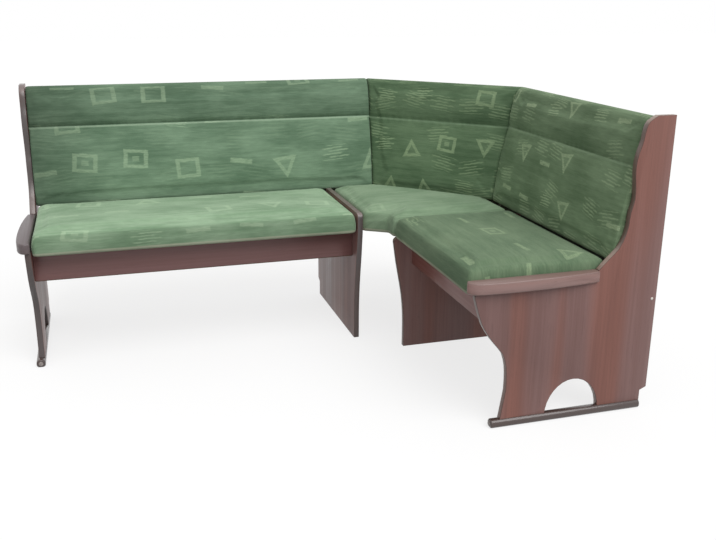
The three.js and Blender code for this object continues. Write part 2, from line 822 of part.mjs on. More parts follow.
function addHinges(group, name, innerFace, outerFace, shares) {
  shares.forEach((share, i) => {
    const start = innerFace + (outerFace - innerFace) * share - hingeLength / 2;
    const label = `${name}_hinge_${i + 1}`;
    addPiece(group, `${label}_lid_leaf`, lidLeaf(start), "steel");
    addPiece(group, `${label}_rail_leaf`, railLeaf(start), "steel");
    addPiece(group, `${label}_pin`, hingePin(start), "steel");
  });
}

// One bench in its own frame
function makeBench(name, length, [cornerClear, panelTop], rearRailStart, hingeShares) {
  const group = new THREE.Group();
  const innerFace = cornerClear + boardThickness;
  const outerFace = length - boardThickness;
  addEndPanel(group, name, length);
  const innerPanel = plate(innerPanelOutline(panelTop), cornerClear, boardThickness);
  addPiece(group, `${name}_inner_panel`, innerPanel, "laminate");
  addStorageBox(group, name, innerFace, outerFace, rearRailStart);
  addStraightBack(group, name, cornerClear, outerFace);
  addLidSeat(group, name, innerFace, outerFace);
  addHinges(group, name, innerFace, outerFace, hingeShares);
  return group;
}

// Corner seat and corner back, drawn in the long bench's frame

function cornerSeatOutline(shortSide) {
  const longSide = longCornerClear - seatSideGap;
  const rear = backFrontDepth + backShelfGap + cornerSeatRearGap;
  return [
    point(longSide, rear),
    point(longSide, chamferLongDepth),
    point(chamferShortDepth, chamferShortReach),
    point(chamferShortDepth, shortSide),
    point(rear, shortSide),
    point(rear, backCornerStart),
    point(backCornerStart, rear),
  ];
}

// The board runs on under the backs to rest on both rear rails
function cornerBoardOutline(cushionCorners, inset) {
  const [rearLong, frontLong, bend, frontShort] = insetCorners(cushionCorners, inset);
  return [
    point(rearRailGap, rearRailGap),
    point(rearLong.x, rearRailGap),
    frontLong,
    bend,
    frontShort,
    point(rearRailGap, frontShort.y),
  ];
}

function addCornerSeat(group) {
  // The cushion covers the short bench's inner panel, and the board stops at that panel
  const corners = cornerSeatOutline(shortCornerClear + boardThickness);
  const clearCorners = cornerSeatOutline(shortCornerClear - seatSideGap);
  const boardOutline = cornerBoardOutline(clearCorners, seatBoardInset);
  const board = flatBoard(boardOutline, seatUnderside, seatBoardTop);
  const recessOutline = cornerBoardOutline(clearCorners, seatBoardInset - fitGap);
  const recess = flatBoard(recessOutline, seatUnderside - cutOverrun, seatBoardTop + fitGap);
  const longFace = longCornerClear - fitGap;
  const shortFace = shortCornerClear - fitGap;
  const ledgerSpan = [ledgerRearDepth, seatDepth - ledgerFrontSetback];
  const ledgerLevel = [boxSideTop - ledgerHeight, boxSideTop];
  const longLedger = box([longFace - ledgerWidth, longFace], ledgerSpan, ledgerLevel);
  const shortLedger = box(ledgerSpan, [shortFace - ledgerWidth, shortFace], ledgerLevel);
  addPiece(group, "corner_seat_board", board, "plywood");
  addPiece(group, "corner_seat_cushion", cut(cushion(corners), recess), "cornerFabric");
  addPiece(group, "corner_long_ledger", longLedger, "plywood");
  addPiece(group, "corner_short_ledger", shortLedger, "plywood");
}

// The corner back's front face runs from one straight back's end to the other's, so it leans less
const diagonal = Math.SQRT2;
const cornerLean = Math.atan(Math.tan(backLean) / diagonal);
const cornerFaceReach = (backCornerStart + backFrontDepth) / diagonal;
const cornerFootReach = cornerFaceReach - backThickness * Math.cos(cornerLean);
const cornerFootHeight = backLowerEdge - backThickness * Math.sin(cornerLean);
const cornerHeight = (benchHeight - backTopMargin - cornerFootHeight) / Math.cos(cornerLean);
const cornerFrame = new THREE.Matrix4()
  .makeRotationZ(-quarterTurn / 2)
  .multiply(new THREE.Matrix4().makeRotationX(cornerLean))
  .setPosition(cornerFootReach / diagonal, cornerFootReach / diagonal, cornerFootHeight);

// Half the corner back's width at a place in its thickness and height
function cornerHalfWidth(across, rise) {
  const reach = cornerFootReach + across * Math.cos(cornerLean) - rise * Math.sin(cornerLean);
  return (backCornerStart - backSideGap) * diagonal - reach;
}

// A flat piece of the corner back whose sides keep an inset from the cushion's sides
function cornerSlab([rear, front], [low, high], inset) {
  const profile = [point(rear, low), point(front, low), point(front, high), point(rear, high)];
  const rings = [-1, 1].map((side) =>
    profile.map(({ x: across, y: rise }) => {
      const half = cornerHalfWidth(across, rise) - inset;
      return new THREE.Vector3(side * half, across, rise);
    }),
  );
  return loft(rings);
}

// A standing gusset behind the corner back, on the corner seat board
function cornerGusset(offset) {
  const low = seatBoardTop + fitGap;
  const high = low + gussetHeight;
  const face = cornerFootReach - fitGap / Math.cos(cornerLean);
  const rear = (height) => face - (height - cornerFootHeight) * Math.tan(cornerLean);
  const outline = [
    point(rear(low) - gussetFootDepth, low),
    point(rear(low), low),
    point(rear(high), high),
    point(rear(high) - gussetTopDepth, high),
  ];
  return plate(outline, offset - boardThickness / 2, boardThickness).rotateZ(-quarterTurn / 2);
}

function addCornerBack(group) {
  const length = 2 * cornerHalfWidth(backThickness, 0);
  const place = (share, across, rise) => (2 * share - 1) * cornerHalfWidth(across, rise);
  const pad = paddedBack(length, cornerHeight, place);
  const low = (seatBoardTop + fitGap - cornerFootHeight) / Math.cos(cornerLean);
  const high = cornerHeight - backBoardTopInset;
  const board = cornerSlab([0, backBoardThickness], [low, high], backBoardInset);
  const recess = cornerSlab(
    [-cutOverrun, backBoardThickness + fitGap],
    [low - cutOverrun, high + fitGap],
    backBoardInset - fitGap,
  );
  addPiece(group, "corner_back_board", board.applyMatrix4(cornerFrame), "plywood");
  addPiece(group, "corner_back_cushion", cut(pad, recess).applyMatrix4(cornerFrame), "cornerFabric");
  addPiece(group, "corner_long_gusset", cornerGusset(gussetOffset), "laminate");
  addPiece(group, "corner_short_gusset", cornerGusset(-gussetOffset), "laminate");
}

// The steel angle in the room corner, against the front faces of both rear rails
function addRailAngle(group) {
  const face = rearRailFront + fitGap;
  const middle = (boxSideTop + boxSideBottom) / 2;
  const height = [middle - angleHeight / 2, middle + angleHeight / 2];
  const angle = join(
    box([face, face + angleLeg], [face, face + angleThickness], height),
    box([face, face + angleThickness], [face, face + angleLeg], height),
  );
  addPiece(group, "corner_rail_angle", angle, "steel");
}

function makeCorner() {
  const group = new THREE.Group();
  addCornerSeat(group);
  addCornerBack(group);
  addRailAngle(group);
  return group;
}

// The long bench stands along the back wall and the short one, mirrored, along the right wall
const longPanel = [longCornerClear, longPanelTop];
const longBench = makeBench("long", longLength, longPanel, rearRailGap, longHingeShares);
longBench.rotation.z = Math.PI;
const shortPanel = [shortCornerClear, shortPanelTop];
const shortRailStart = rearRailFront + fitGap;
const shortBench = makeBench("short", shortLength, shortPanel, shortRailStart, shortHingeShares);
shortBench.scale.x = -1;
shortBench.rotation.z = quarterTurn;
const corner = makeCorner();
corner.rotation.z = Math.PI;

const bench = new THREE.Group();
bench.add(longBench, shortBench, corner);
bench.position.set((longLength + armCapOverhang) / 2, (shortLength + armCapOverhang) / 2, 0);

export default bench;
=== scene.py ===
import math

import bpy
import numpy as np
from mathutils import Matrix, Vector


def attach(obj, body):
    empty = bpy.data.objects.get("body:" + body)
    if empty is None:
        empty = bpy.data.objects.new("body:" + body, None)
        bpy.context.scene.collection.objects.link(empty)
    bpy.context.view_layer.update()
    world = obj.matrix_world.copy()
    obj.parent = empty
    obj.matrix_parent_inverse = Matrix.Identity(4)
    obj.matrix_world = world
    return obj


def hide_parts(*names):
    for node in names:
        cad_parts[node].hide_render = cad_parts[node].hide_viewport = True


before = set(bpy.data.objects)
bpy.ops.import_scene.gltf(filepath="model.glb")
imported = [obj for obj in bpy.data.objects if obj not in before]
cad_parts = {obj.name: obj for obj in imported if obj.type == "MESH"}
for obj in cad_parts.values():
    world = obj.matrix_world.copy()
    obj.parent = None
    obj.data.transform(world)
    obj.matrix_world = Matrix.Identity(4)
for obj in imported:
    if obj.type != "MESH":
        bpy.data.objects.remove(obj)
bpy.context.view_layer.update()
scene = bpy.context.scene
print("frame loaded:", len(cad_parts), "nodes")


# Small helpers

mergeDistance = 0.00002


def activate(piece):
    if bpy.context.object and bpy.context.object.mode != "OBJECT":
        bpy.ops.object.mode_set(mode="OBJECT")
    bpy.ops.object.select_all(action="DESELECT")
    piece.select_set(True)
    bpy.context.view_layer.objects.active = piece


def applyModifiers(piece):
    activate(piece)
    for modifier in list(piece.modifiers):
        bpy.ops.object.modifier_apply(modifier=modifier.name)


def copyOfNode(node, name):
    # A CAD mesh is loose triangles, so the copy is merged before it is worked on
    piece = bpy.data.objects.new(name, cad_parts[node].data.copy())
    scene.collection.objects.link(piece)
    piece.data.materials.clear()
    activate(piece)
    bpy.ops.object.mode_set(mode="EDIT")
    bpy.ops.mesh.select_all(action="SELECT")
    bpy.ops.mesh.remove_doubles(threshold=mergeDistance)
    bpy.ops.object.mode_set(mode="OBJECT")
    return piece


def readVertices(piece, what):
    found = np.empty(len(piece.data.vertices) * 3, np.float32)
    piece.data.vertices.foreach_get(what, found)
    return found.reshape(-1, 3).astype(float)


def moveVertices(piece, places):
    piece.data.vertices.foreach_set("co", places.astype(np.float32).ravel())
    piece.data.update()


def smoothStep(low, high, value):
    share = np.clip((value - low) / (high - low), 0, 1)
    return share * share * (3 - 2 * share)


# Camera

view = {
    "place": (-0.6053, -2.5895, 1.1567),
    "yaw": 16.824,
    "pitch": 17.806,
    "roll": 0.282,
    "focalPixels": 867.58,
    "imageWidth": 716,
    "sensorWidth": 36.0,
}


def addCamera(values):
    yaw, pitch, roll = (math.radians(values[key]) for key in ("yaw", "pitch", "roll"))
    flat = math.cos(pitch)
    ahead = Vector((math.sin(yaw) * flat, math.cos(yaw) * flat, -math.sin(pitch)))
    level = Vector((math.cos(yaw), -math.sin(yaw), 0))
    above = level.cross(ahead)
    right = level * math.cos(roll) + above * math.sin(roll)
    up = above * math.cos(roll) - level * math.sin(roll)
    data = bpy.data.cameras.new("camera")
    data.sensor_fit = "HORIZONTAL"
    data.sensor_width = values["sensorWidth"]
    data.lens = values["focalPixels"] / values["imageWidth"] * values["sensorWidth"]
    camera = bpy.data.objects.new("camera", data)
    turned = Matrix((right, up, -ahead)).transposed().to_4x4()
    camera.matrix_world = Matrix.Translation(values["place"]) @ turned
    scene.collection.objects.link(camera)
    scene.camera = camera


addCamera(view)
print("camera placed")


# Node helpers

def feed(tree, socket, value):
    if isinstance(value, bpy.types.NodeSocket):
        tree.links.new(value, socket)
    else:
        socket.default_value = value


def addNode(tree, kind, inputs=None, **settings):
    node = tree.nodes.new(kind)
    for key, value in settings.items():
        setattr(node, key, value)
    for key, value in (inputs or {}).items():
        feed(tree, node.inputs[key], value)
    return node


def calc(tree, operation, *values):
    return addNode(tree, "ShaderNodeMath", dict(enumerate(values)), operation=operation).outputs[0]


def product(tree, first, *others):
    for other in others:
        first = calc(tree, "MULTIPLY", first, other)
    return first


def vectorCalc(tree, operation, *values):
    # The factor of a SCALE is the node's fourth socket
    node = addNode(tree, "ShaderNodeVectorMath", operation=operation)
    for i, value in enumerate(values):
        feed(tree, node.inputs[3 if operation == "SCALE" and i == 1 else i], value)
    return node.outputs["Value" if operation == "DOT_PRODUCT" else "Vector"]


def stretched(tree, vector, scales):
    return vectorCalc(tree, "MULTIPLY", vector, scales)


def joined(tree, x, y, z=0.0):
    return addNode(tree, "ShaderNodeCombineXYZ", {0: x, 1: y, 2: z}).outputs[0]


def split(tree, vector):
    return addNode(tree, "ShaderNodeSeparateXYZ", {0: vector}).outputs


def mixColors(tree, share, first, second, blend="MIX"):
    # The colours of a Mix node are its sockets 6 and 7, and output 2
    node = addNode(tree, "ShaderNodeMix", data_type="RGBA", blend_type=blend)
    for key, value in ((0, share), (6, first), (7, second)):
        feed(tree, node.inputs[key], value)
    return node.outputs[2]


def between(tree, value, low, high, newLow=0.0, newHigh=1.0):
    limits = {"From Min": low, "From Max": high, "To Min": newLow, "To Max": newHigh}
    inputs = dict(limits, Value=value)
    node = addNode(tree, "ShaderNodeMapRange", inputs, interpolation_type="SMOOTHSTEP")
    return node.outputs[0]


def noise(tree, vector, scale, detail=2.0, roughness=0.5):
    inputs = {"Vector": vector, "Scale": scale, "Detail": detail, "Roughness": roughness}
    return addNode(tree, "ShaderNodeTexNoise", inputs, noise_dimensions="3D").outputs[0]


def layer(tree, vector, stretch, detail=2.0, roughness=0.5):
    # Noise with its own scale along each axis
    return noise(tree, stretched(tree, vector, stretch), 1.0, detail, roughness)


def startGroup(name, inputs, outputs):
    group = bpy.data.node_groups.new(name, "ShaderNodeTree")
    for socketName, kind, value in inputs:
        socket = group.interface.new_socket(name=socketName, in_out="INPUT", socket_type=kind)
        if value is not None:
            socket.default_value = value
    for socketName in outputs:
        group.interface.new_socket(name=socketName, in_out="OUTPUT", socket_type=floatKind)
    start = group.nodes.new("NodeGroupInput").outputs
    end = group.nodes.new("NodeGroupOutput").inputs
    return group, start, end


def useGroup(tree, group, inputs):
    node = tree.nodes.new("ShaderNodeGroup")
    node.node_tree = group
    for key, value in inputs.items():
        feed(tree, node.inputs[key], value)
    return node.outputs


def startMaterial(name):
    material = bpy.data.materials.new(name)
    material.use_nodes = True
    tree = material.node_tree
    return material, tree, tree.nodes["Principled BSDF"]


def addBump(tree, shader, height, strength, distance):
    inputs = {"Height": height, "Strength": strength, "Distance": distance}
    bump = addNode(tree, "ShaderNodeBump", inputs)
    tree.links.new(bump.outputs[0], shader.inputs["Normal"])


def objectPlace(tree):
    return addNode(tree, "ShaderNodeTexCoord").outputs["Object"]


def linear(red, green, blue):
    # A colour written as it shows on a screen, 0 to 255
    def one(value):
        value /= 255
        return value / 12.92 if value <= 0.04045 else ((value + 0.055) / 1.055) ** 2.4

    return (one(red), one(green), one(blue), 1)


vectorKind, floatKind = "NodeSocketVector", "NodeSocketFloat"


# Wood grain: coordinates run along z with the grain

grainValues = {
    "bend": {"stretch": (3, 3, 1.2)},
    "bendDepth": 0.03,
    "broadStretch": (1, 1, 0.05),
    "broadDetail": 1.5,
    "wide": {"stretch": (26, 26, 0.7), "detail": 3.0, "roughness": 0.55},
    "narrow": {"stretch": (150, 150, 2.4), "detail": 3.0, "roughness": 0.6},
    "fine": {"stretch": (800, 800, 9), "roughness": 0.6},
    "shares": {"wide": 0.6, "narrow": 0.4},  # of the streaks
    "toneZone": (0.36, 0.58),
    "streakZone": (0.36, 0.64),
    "poreZone": (0.6, 0.74),
    "fineHeight": 0.4,
}


def makeGrainGroup(values):
    group, start, end = startGroup(
        "woodGrain",
        [("Vector", vectorKind, None), ("Broad", floatKind, 10.0)],
        ["Tone", "Streaks", "Pores", "Height"],
    )
    place = start["Vector"]
    bend = layer(group, place, **values["bend"])
    shift = vectorCalc(group, "SCALE", joined(group, bend, bend), values["bendDepth"])
    bent = vectorCalc(group, "ADD", place, shift)
    broad = stretched(group, bent, values["broadStretch"])
    broad = vectorCalc(group, "SCALE", broad, start["Broad"])
    bands = noise(group, broad, 1.0, values["broadDetail"])
    wide, narrow, fine = (layer(group, bent, **values[key]) for key in ("wide", "narrow", "fine"))
    wide = product(group, wide, values["shares"]["wide"])
    streaks = calc(group, "MULTIPLY_ADD", narrow, values["shares"]["narrow"], wide)
    pores = between(group, fine, *values["poreZone"])
    height = calc(group, "SUBTRACT", product(group, fine, values["fineHeight"]), pores)
    group.links.new(between(group, bands, *values["toneZone"]), end["Tone"])
    group.links.new(between(group, streaks, *values["streakZone"]), end["Streaks"])
    group.links.new(pores, end["Pores"])
    group.links.new(height, end["Height"])
    return group


woodGrain = makeGrainGroup(grainValues)

# Turns that bring the direction of the grain to z
grainTurns = {"up": (0, 0, 0), "x": (0, math.pi / 2, 0), "y": (math.pi / 2, 0, 0)}


def levelGrainTurn(along):
    return (math.pi / 2, math.atan2(-along[0], along[1]), 0)


# Laminate: red and grey alternate in broad bands. Streak is the strength of the dark streaks, broad
# the scale of the bands, top the colour painted on faces that look up, a painted highlight on the
# edge bands and painted shade on the short arm cap, and topZone how far up they look
laminateLooks = {
    "panel": {
        "red": (140, 93, 82), "grey": (133, 101, 97),
        "dark": (96, 62, 55), "pore": (86, 56, 50),
        "streak": 0.34, "broad": 10.0, "roughness": 0.38, "coat": 0.0,
    },
    # The apron is a darker copy of the panel's laminate: painted shade under the seat's overhang
    "apron": {
        "red": (142, 86, 77), "grey": (123, 86, 84),
        "dark": (90, 57, 50), "pore": (80, 50, 44),
        "streak": 0.3, "broad": 9.0, "roughness": 0.38, "coat": 0.15,
    },
    # The long arm cap is a darker copy of the cap laminate: painted shade on the bench's left end
    "longCap": {
        "red": (112, 94, 92), "grey": (104, 94, 96),
        "dark": (80, 63, 60), "pore": (70, 54, 50),
        "streak": 0.5, "broad": 16.0, "roughness": 0.42, "coat": 0.05,
    },
    # The short arm cap's sides are painted lighter than the panel's laminate: painted light on its
    # front
    "shortCap": {
        "red": (160, 122, 114), "grey": (150, 123, 119),
        "dark": (106, 80, 74), "pore": (92, 70, 64),
        "streak": 0.5, "broad": 16.0, "roughness": 0.42, "coat": 0.05, "top": (120, 100, 95),
        "topZone": (-0.05, 0.4),
    },
    "runner": {
        "red": (78, 60, 54), "grey": (74, 62, 60),
        "dark": (58, 44, 40), "pore": (50, 38, 34),
        "streak": 0.4, "broad": 20.0, "roughness": 0.26, "coat": 0.4,
    },
    # The long edge band is darker than the short one: painted shade on the bench's left end
    "longBand": {
        "red": (93, 78, 74), "grey": (87, 79, 78),
        "dark": (66, 54, 52), "pore": (58, 47, 45),
        "streak": 0.4, "broad": 20.0, "roughness": 0.34, "coat": 0.2, "top": (150, 134, 131),
        "topZone": (0.3, 0.8),
    },
    "shortBand": {
        "red": (122, 92, 82), "grey": (112, 92, 84),
        "dark": (92, 66, 58), "pore": (80, 58, 50),
        "streak": 0.35, "broad": 20.0, "roughness": 0.36, "coat": 0.15, "top": (169, 148, 133),
        "topZone": (0.3, 0.8),
    },
}
laminateFilm = {
    "poreShare": 0.45,
    "topShare": 0.7,
    "roughSpread": (-0.03, 0.05),
    "coatRoughness": 0.16,
    "bump": (0.5, 0.00012),
}
bandSeamLook = {
    "dark": (72, 48, 44), "light": (96, 68, 62), "scale": 90.0, "zone": (0.35, 0.65),
    "roughness": 0.45,
}


def makeLaminate(look, direction, offset=(0.0, 0.0, 0.0)):
    values, film = laminateLooks[look], laminateFilm
    material, tree, shader = startMaterial(look + "Laminate" + direction.capitalize())
    inputs = {"Vector": objectPlace(tree), "Rotation": grainTurns[direction], "Location": offset}
    turned = addNode(tree, "ShaderNodeMapping", inputs).outputs[0]
    grain = useGroup(tree, woodGrain, {"Vector": turned, "Broad": values["broad"]})
    base = mixColors(tree, grain["Tone"], linear(*values["red"]), linear(*values["grey"]))
    # Faces that look up take the top colour: a painted highlight on the edge bands, painted shade
    # on the short arm cap
    if "top" in values:
        facing = addNode(tree, "ShaderNodeTexCoord").outputs["Normal"]
        paintedTopShading = between(tree, split(tree, facing)[2], *values["topZone"], 0.0, film["topShare"])
        base = mixColors(tree, paintedTopShading, base, linear(*values["top"]))
    dark, pore = linear(*values["dark"]), linear(*values["pore"])
    base = mixColors(tree, product(tree, grain["Streaks"], values["streak"]), base, dark)
    base = mixColors(tree, product(tree, grain["Pores"], film["poreShare"]), base, pore)
    tree.links.new(base, shader.inputs["Base Color"])
    roughness = [values["roughness"] + spread for spread in film["roughSpread"]]
    rough = between(tree, grain["Streaks"], 0.0, 1.0, *roughness)
    tree.links.new(rough, shader.inputs["Roughness"])
    shader.inputs["Coat Weight"].default_value = values["coat"]
    shader.inputs["Coat Roughness"].default_value = film["coatRoughness"]
    addBump(tree, shader, grain["Height"], *film["bump"])
    return material


def makeBandSeam(look):
    material, tree, shader = startMaterial("bandSeam")
    spots = between(tree, noise(tree, objectPlace(tree), look["scale"], 3.0), *look["zone"])
    shade = mixColors(tree, spots, linear(*look["dark"]), linear(*look["light"]))
    tree.links.new(shade, shader.inputs["Base Color"])
    shader.inputs["Roughness"].default_value = look["roughness"]
    return material


panelUp = makeLaminate("panel", "up")
apronAlongX = makeLaminate("apron", "x", (0.3, 0.1, 0.2))
apronAlongY = makeLaminate("apron", "y", (0.1, 0.7, 0.4))
edgeBands = {side: makeLaminate(side + "Band", "up", (0.5, 0.2, 0.1)) for side in ("long", "short")}
bandSeam = makeBandSeam(bandSeamLook)


# Raw plywood, hardboard, steel and plastic

plywoodLook = {
    "light": (208, 174, 130), "dark": (170, 132, 90), "pore": (128, 92, 58),
    "poreShare": 0.5,
    "glueLine": (150, 112, 74),
    "glueZone": (-0.4, 0.4),
    "layer": 0.0032,
    "waviness": {"scale": 60.0, "depth": 0.0006},
    "faceZone": (0.4, 0.6),
    "paintedShadeCloth": (52, 58, 48), "paintedShadeClothLight": (66, 72, 60),
    "paintedShadeThreads": {"stretch": (700, 700, 1400)},
    "threadZone": (0.35, 0.65),
    "paintedShadeZone": (0.5, 0.6),
    "roughness": 0.75,
    "bump": (0.6, 0.0003),
}
hardboardLook = {
    "light": (144, 112, 76), "dark": (104, 76, 48), "cloud": (92, 66, 42),
    "fibres": {"stretch": (420, 300, 300), "detail": 4.0, "roughness": 0.65},
    "fibreZone": (0.35, 0.65),
    "cloudScale": 9.0,
    "cloudZone": (0.3, 0.7, 0.0, 0.35),
    "roughness": 0.82,
    "bump": (0.5, 0.0003),
}
steelLook = {
    "light": (188, 188, 184), "dark": (150, 150, 148),
    "cellScale": 260.0,
    "cellShare": 0.18,
    "cloudScale": 70.0,
    "cloudZone": (0.3, 0.7),
    "roughness": (0.28, 0.45),
}
plasticLook = {
    "dirtScale": 120.0,
    "dirtZone": (0.45, 0.75),
    "roughness": 0.42,
    "grain": {"scale": 600.0, "detail": 3.0, "roughness": 0.6},
    "bump": (0.3, 0.0001),
}


def makePlywood(name, layerAxis, grainTurn, paintedShadeLined, look):
    # The side of a back board that lies against its cushion is painted as dark cloth: painted shade
    # for the gap between a seat and its back
    material, tree, shader = startMaterial(name)
    coords = addNode(tree, "ShaderNodeTexCoord")
    place, facing = coords.outputs["Object"], coords.outputs["Normal"]
    inputs = {"Vector": place, "Rotation": grainTurn}
    turned = addNode(tree, "ShaderNodeMapping", inputs).outputs[0]
    grain = useGroup(tree, woodGrain, {"Vector": turned})
    light, dark, pore = (linear(*look[key]) for key in ("light", "dark", "pore"))
    face = mixColors(tree, grain["Streaks"], dark, light)
    face = mixColors(tree, product(tree, grain["Pores"], look["poreShare"]), face, pore)
    depth = vectorCalc(tree, "DOT_PRODUCT", place, layerAxis)
    wave = noise(tree, place, look["waviness"]["scale"])
    uneven = calc(tree, "MULTIPLY_ADD", wave, look["waviness"]["depth"], depth)
    layers = calc(tree, "SINE", product(tree, uneven, 2 * math.pi / look["layer"]))
    betweenGlue = between(tree, layers, *look["glueZone"])
    edge = mixColors(tree, betweenGlue, linear(*look["glueLine"]), light)
    along = vectorCalc(tree, "DOT_PRODUCT", facing, layerAxis)
    onFace = between(tree, calc(tree, "ABSOLUTE", along), *look["faceZone"])
    shade = mixColors(tree, onFace, edge, face)
    if paintedShadeLined:
        threads = between(tree, layer(tree, place, **look["paintedShadeThreads"]), *look["threadZone"])
        paintedShadeCloth = mixColors(tree, threads, linear(*look["paintedShadeCloth"]), linear(*look["paintedShadeClothLight"]))
        shade = mixColors(tree, between(tree, along, *look["paintedShadeZone"]), shade, paintedShadeCloth)
    tree.links.new(shade, shader.inputs["Base Color"])
    shader.inputs["Roughness"].default_value = look["roughness"]
    addBump(tree, shader, grain["Height"], *look["bump"])
    return material


def makeHardboard(look):
    material, tree, shader = startMaterial("hardboard")
    place = objectPlace(tree)
    fibres = layer(tree, place, **look["fibres"])
    clouds = between(tree, noise(tree, place, look["cloudScale"], 3.0), *look["cloudZone"])
    share = between(tree, fibres, *look["fibreZone"])
    base = mixColors(tree, share, linear(*look["dark"]), linear(*look["light"]))
    base = mixColors(tree, clouds, base, linear(*look["cloud"]))
    tree.links.new(base, shader.inputs["Base Color"])
    shader.inputs["Roughness"].default_value = look["roughness"]
    addBump(tree, shader, fibres, *look["bump"])
    return material


def makeSteel(look):
    material, tree, shader = startMaterial("zincSteel")
    place = objectPlace(tree)
    cells = addNode(tree, "ShaderNodeTexVoronoi", {"Vector": place, "Scale": look["cellScale"]})
    clouds = noise(tree, place, look["cloudScale"], 3.0)
    share = between(tree, clouds, *look["cloudZone"])
    shade = mixColors(tree, share, linear(*look["dark"]), linear(*look["light"]))
    shade = mixColors(tree, look["cellShare"], shade, cells.outputs["Color"], "SOFT_LIGHT")
    tree.links.new(shade, shader.inputs["Base Color"])
    rough = between(tree, clouds, *look["cloudZone"], *look["roughness"])
    tree.links.new(rough, shader.inputs["Roughness"])
    shader.inputs["Metallic"].default_value = 1.0
    return material


def makePlastic(name, dark, light, look):
    material, tree, shader = startMaterial(name)
    place = objectPlace(tree)
    dirt = between(tree, noise(tree, place, look["dirtScale"], 2.0), *look["dirtZone"])
    base = mixColors(tree, dirt, linear(*light), linear(*dark))
    tree.links.new(base, shader.inputs["Base Color"])
    shader.inputs["Roughness"].default_value = look["roughness"]
    addBump(tree, shader, noise(tree, place, **look["grain"]), *look["bump"])
    return material


plywoodFlat = makePlywood("plywoodFlat", (0, 0, 1), grainTurns["x"], False, plywoodLook)
hardboard = makeHardboard(hardboardLook)
zincSteel = makeSteel(steelLook)
plugPlastic = makePlastic("plugPlastic", (128, 118, 114), (158, 150, 146), plasticLook)
capPlastic = makePlastic("capPlastic", (206, 200, 192), (232, 228, 220), plasticLook)
print("hard materials made")


# Woven motifs: plain outlines and strokes scattered one to a tile, on cloth coordinates in metres.
# A form's sizes are shares of a motif's half size, and luck is three random numbers for its tile

motifForms = {
    "Frames": {  # tall is the spread and the least of a frame's height
        "tall": (0.4, 0.75), "outer": 0.95, "inner": 0.62,
        "core": 0.26, "coreChance": 0.4, "coreShare": 0.7,
    },
    "Triangles": {
        "upChance": 0.2, "slope": (0.87, -0.5),  # cosine and sine of a side's lean
        "outer": 0.6, "inner": 0.3, "core": 0.34, "coreShare": 0.6,
    },
    "Bars": {"long": 0.9, "high": 0.19},
    "Strokes": {
        "rows": 4.0, "wave": (2.9, 20.0), "slide": 0.32, "long": 0.85, "longSoft": 0.3,
        "high": 0.62, "thin": (0.3, 0.14),
    },
}
motifPlace = {
    "wobbleScale": 70.0,
    "wobbleDepth": 0.006,
    "seedSteps": (7.31, 3.17),
    "rowStep": 0.37,
    "middle": (0.36, 0.32),  # spread and least of a motif's place in its tile
    "brush": {"stretch": (50, 300, 50), "detail": 3.0, "roughness": 0.6},
    "brushZone": (0.3, 0.55, 0.35, 1.0),
}


def inside(tree, value, limit, soft=0.1):
    return between(tree, value, limit + soft / 2, limit - soft / 2)


def frameShape(group, x, y, luck, form):
    tall = calc(group, "MULTIPLY_ADD", luck[0], *form["tall"])
    flatY = calc(group, "DIVIDE", y, tall)
    reach = calc(group, "MAXIMUM", calc(group, "ABSOLUTE", x), calc(group, "ABSOLUTE", flatY))
    outer, inner, core = (inside(group, reach, form[key]) for key in ("outer", "inner", "core"))
    chosen = calc(group, "GREATER_THAN", luck[1], form["coreChance"])
    core = product(group, core, chosen, form["coreShare"])
    return calc(group, "MAXIMUM", calc(group, "SUBTRACT", outer, inner), core)


def triangleShape(group, x, y, luck, form):
    chosen = calc(group, "GREATER_THAN", luck[1], form["upChance"])
    y = product(group, y, calc(group, "MULTIPLY_ADD", chosen, 2.0, -1.0))
    lean = product(group, y, form["slope"][1])
    side = calc(group, "MULTIPLY_ADD", calc(group, "ABSOLUTE", x), form["slope"][0], lean)
    reach = calc(group, "MAXIMUM", side, y)
    outer, inner, core = (inside(group, reach, form[key]) for key in ("outer", "inner", "core"))
    core = product(group, core, luck[0], form["coreShare"])
    return calc(group, "MAXIMUM", calc(group, "SUBTRACT", outer, inner), core)


def barShape(group, x, y, luck, form):
    long = inside(group, calc(group, "ABSOLUTE", x), form["long"])
    return product(group, long, inside(group, calc(group, "ABSOLUTE", y), form["high"]))


def strokeShape(group, x, y, luck, form):
    # Parallel brush strokes, each shifted by its own amount
    row = product(group, y, form["rows"])
    number = calc(group, "FLOOR", row)
    away = calc(group, "ABSOLUTE", calc(group, "SUBTRACT", calc(group, "FRACT", row), 0.5))
    start = product(group, luck[2], form["wave"][1])
    slide = calc(group, "SINE", calc(group, "MULTIPLY_ADD", number, form["wave"][0], start))
    moved = calc(group, "MULTIPLY_ADD", slide, form["slide"], x)
    long = inside(group, calc(group, "ABSOLUTE", moved), form["long"], form["longSoft"])
    high = inside(group, calc(group, "ABSOLUTE", y), form["high"])
    return product(group, between(group, away, *form["thin"]), long, high)


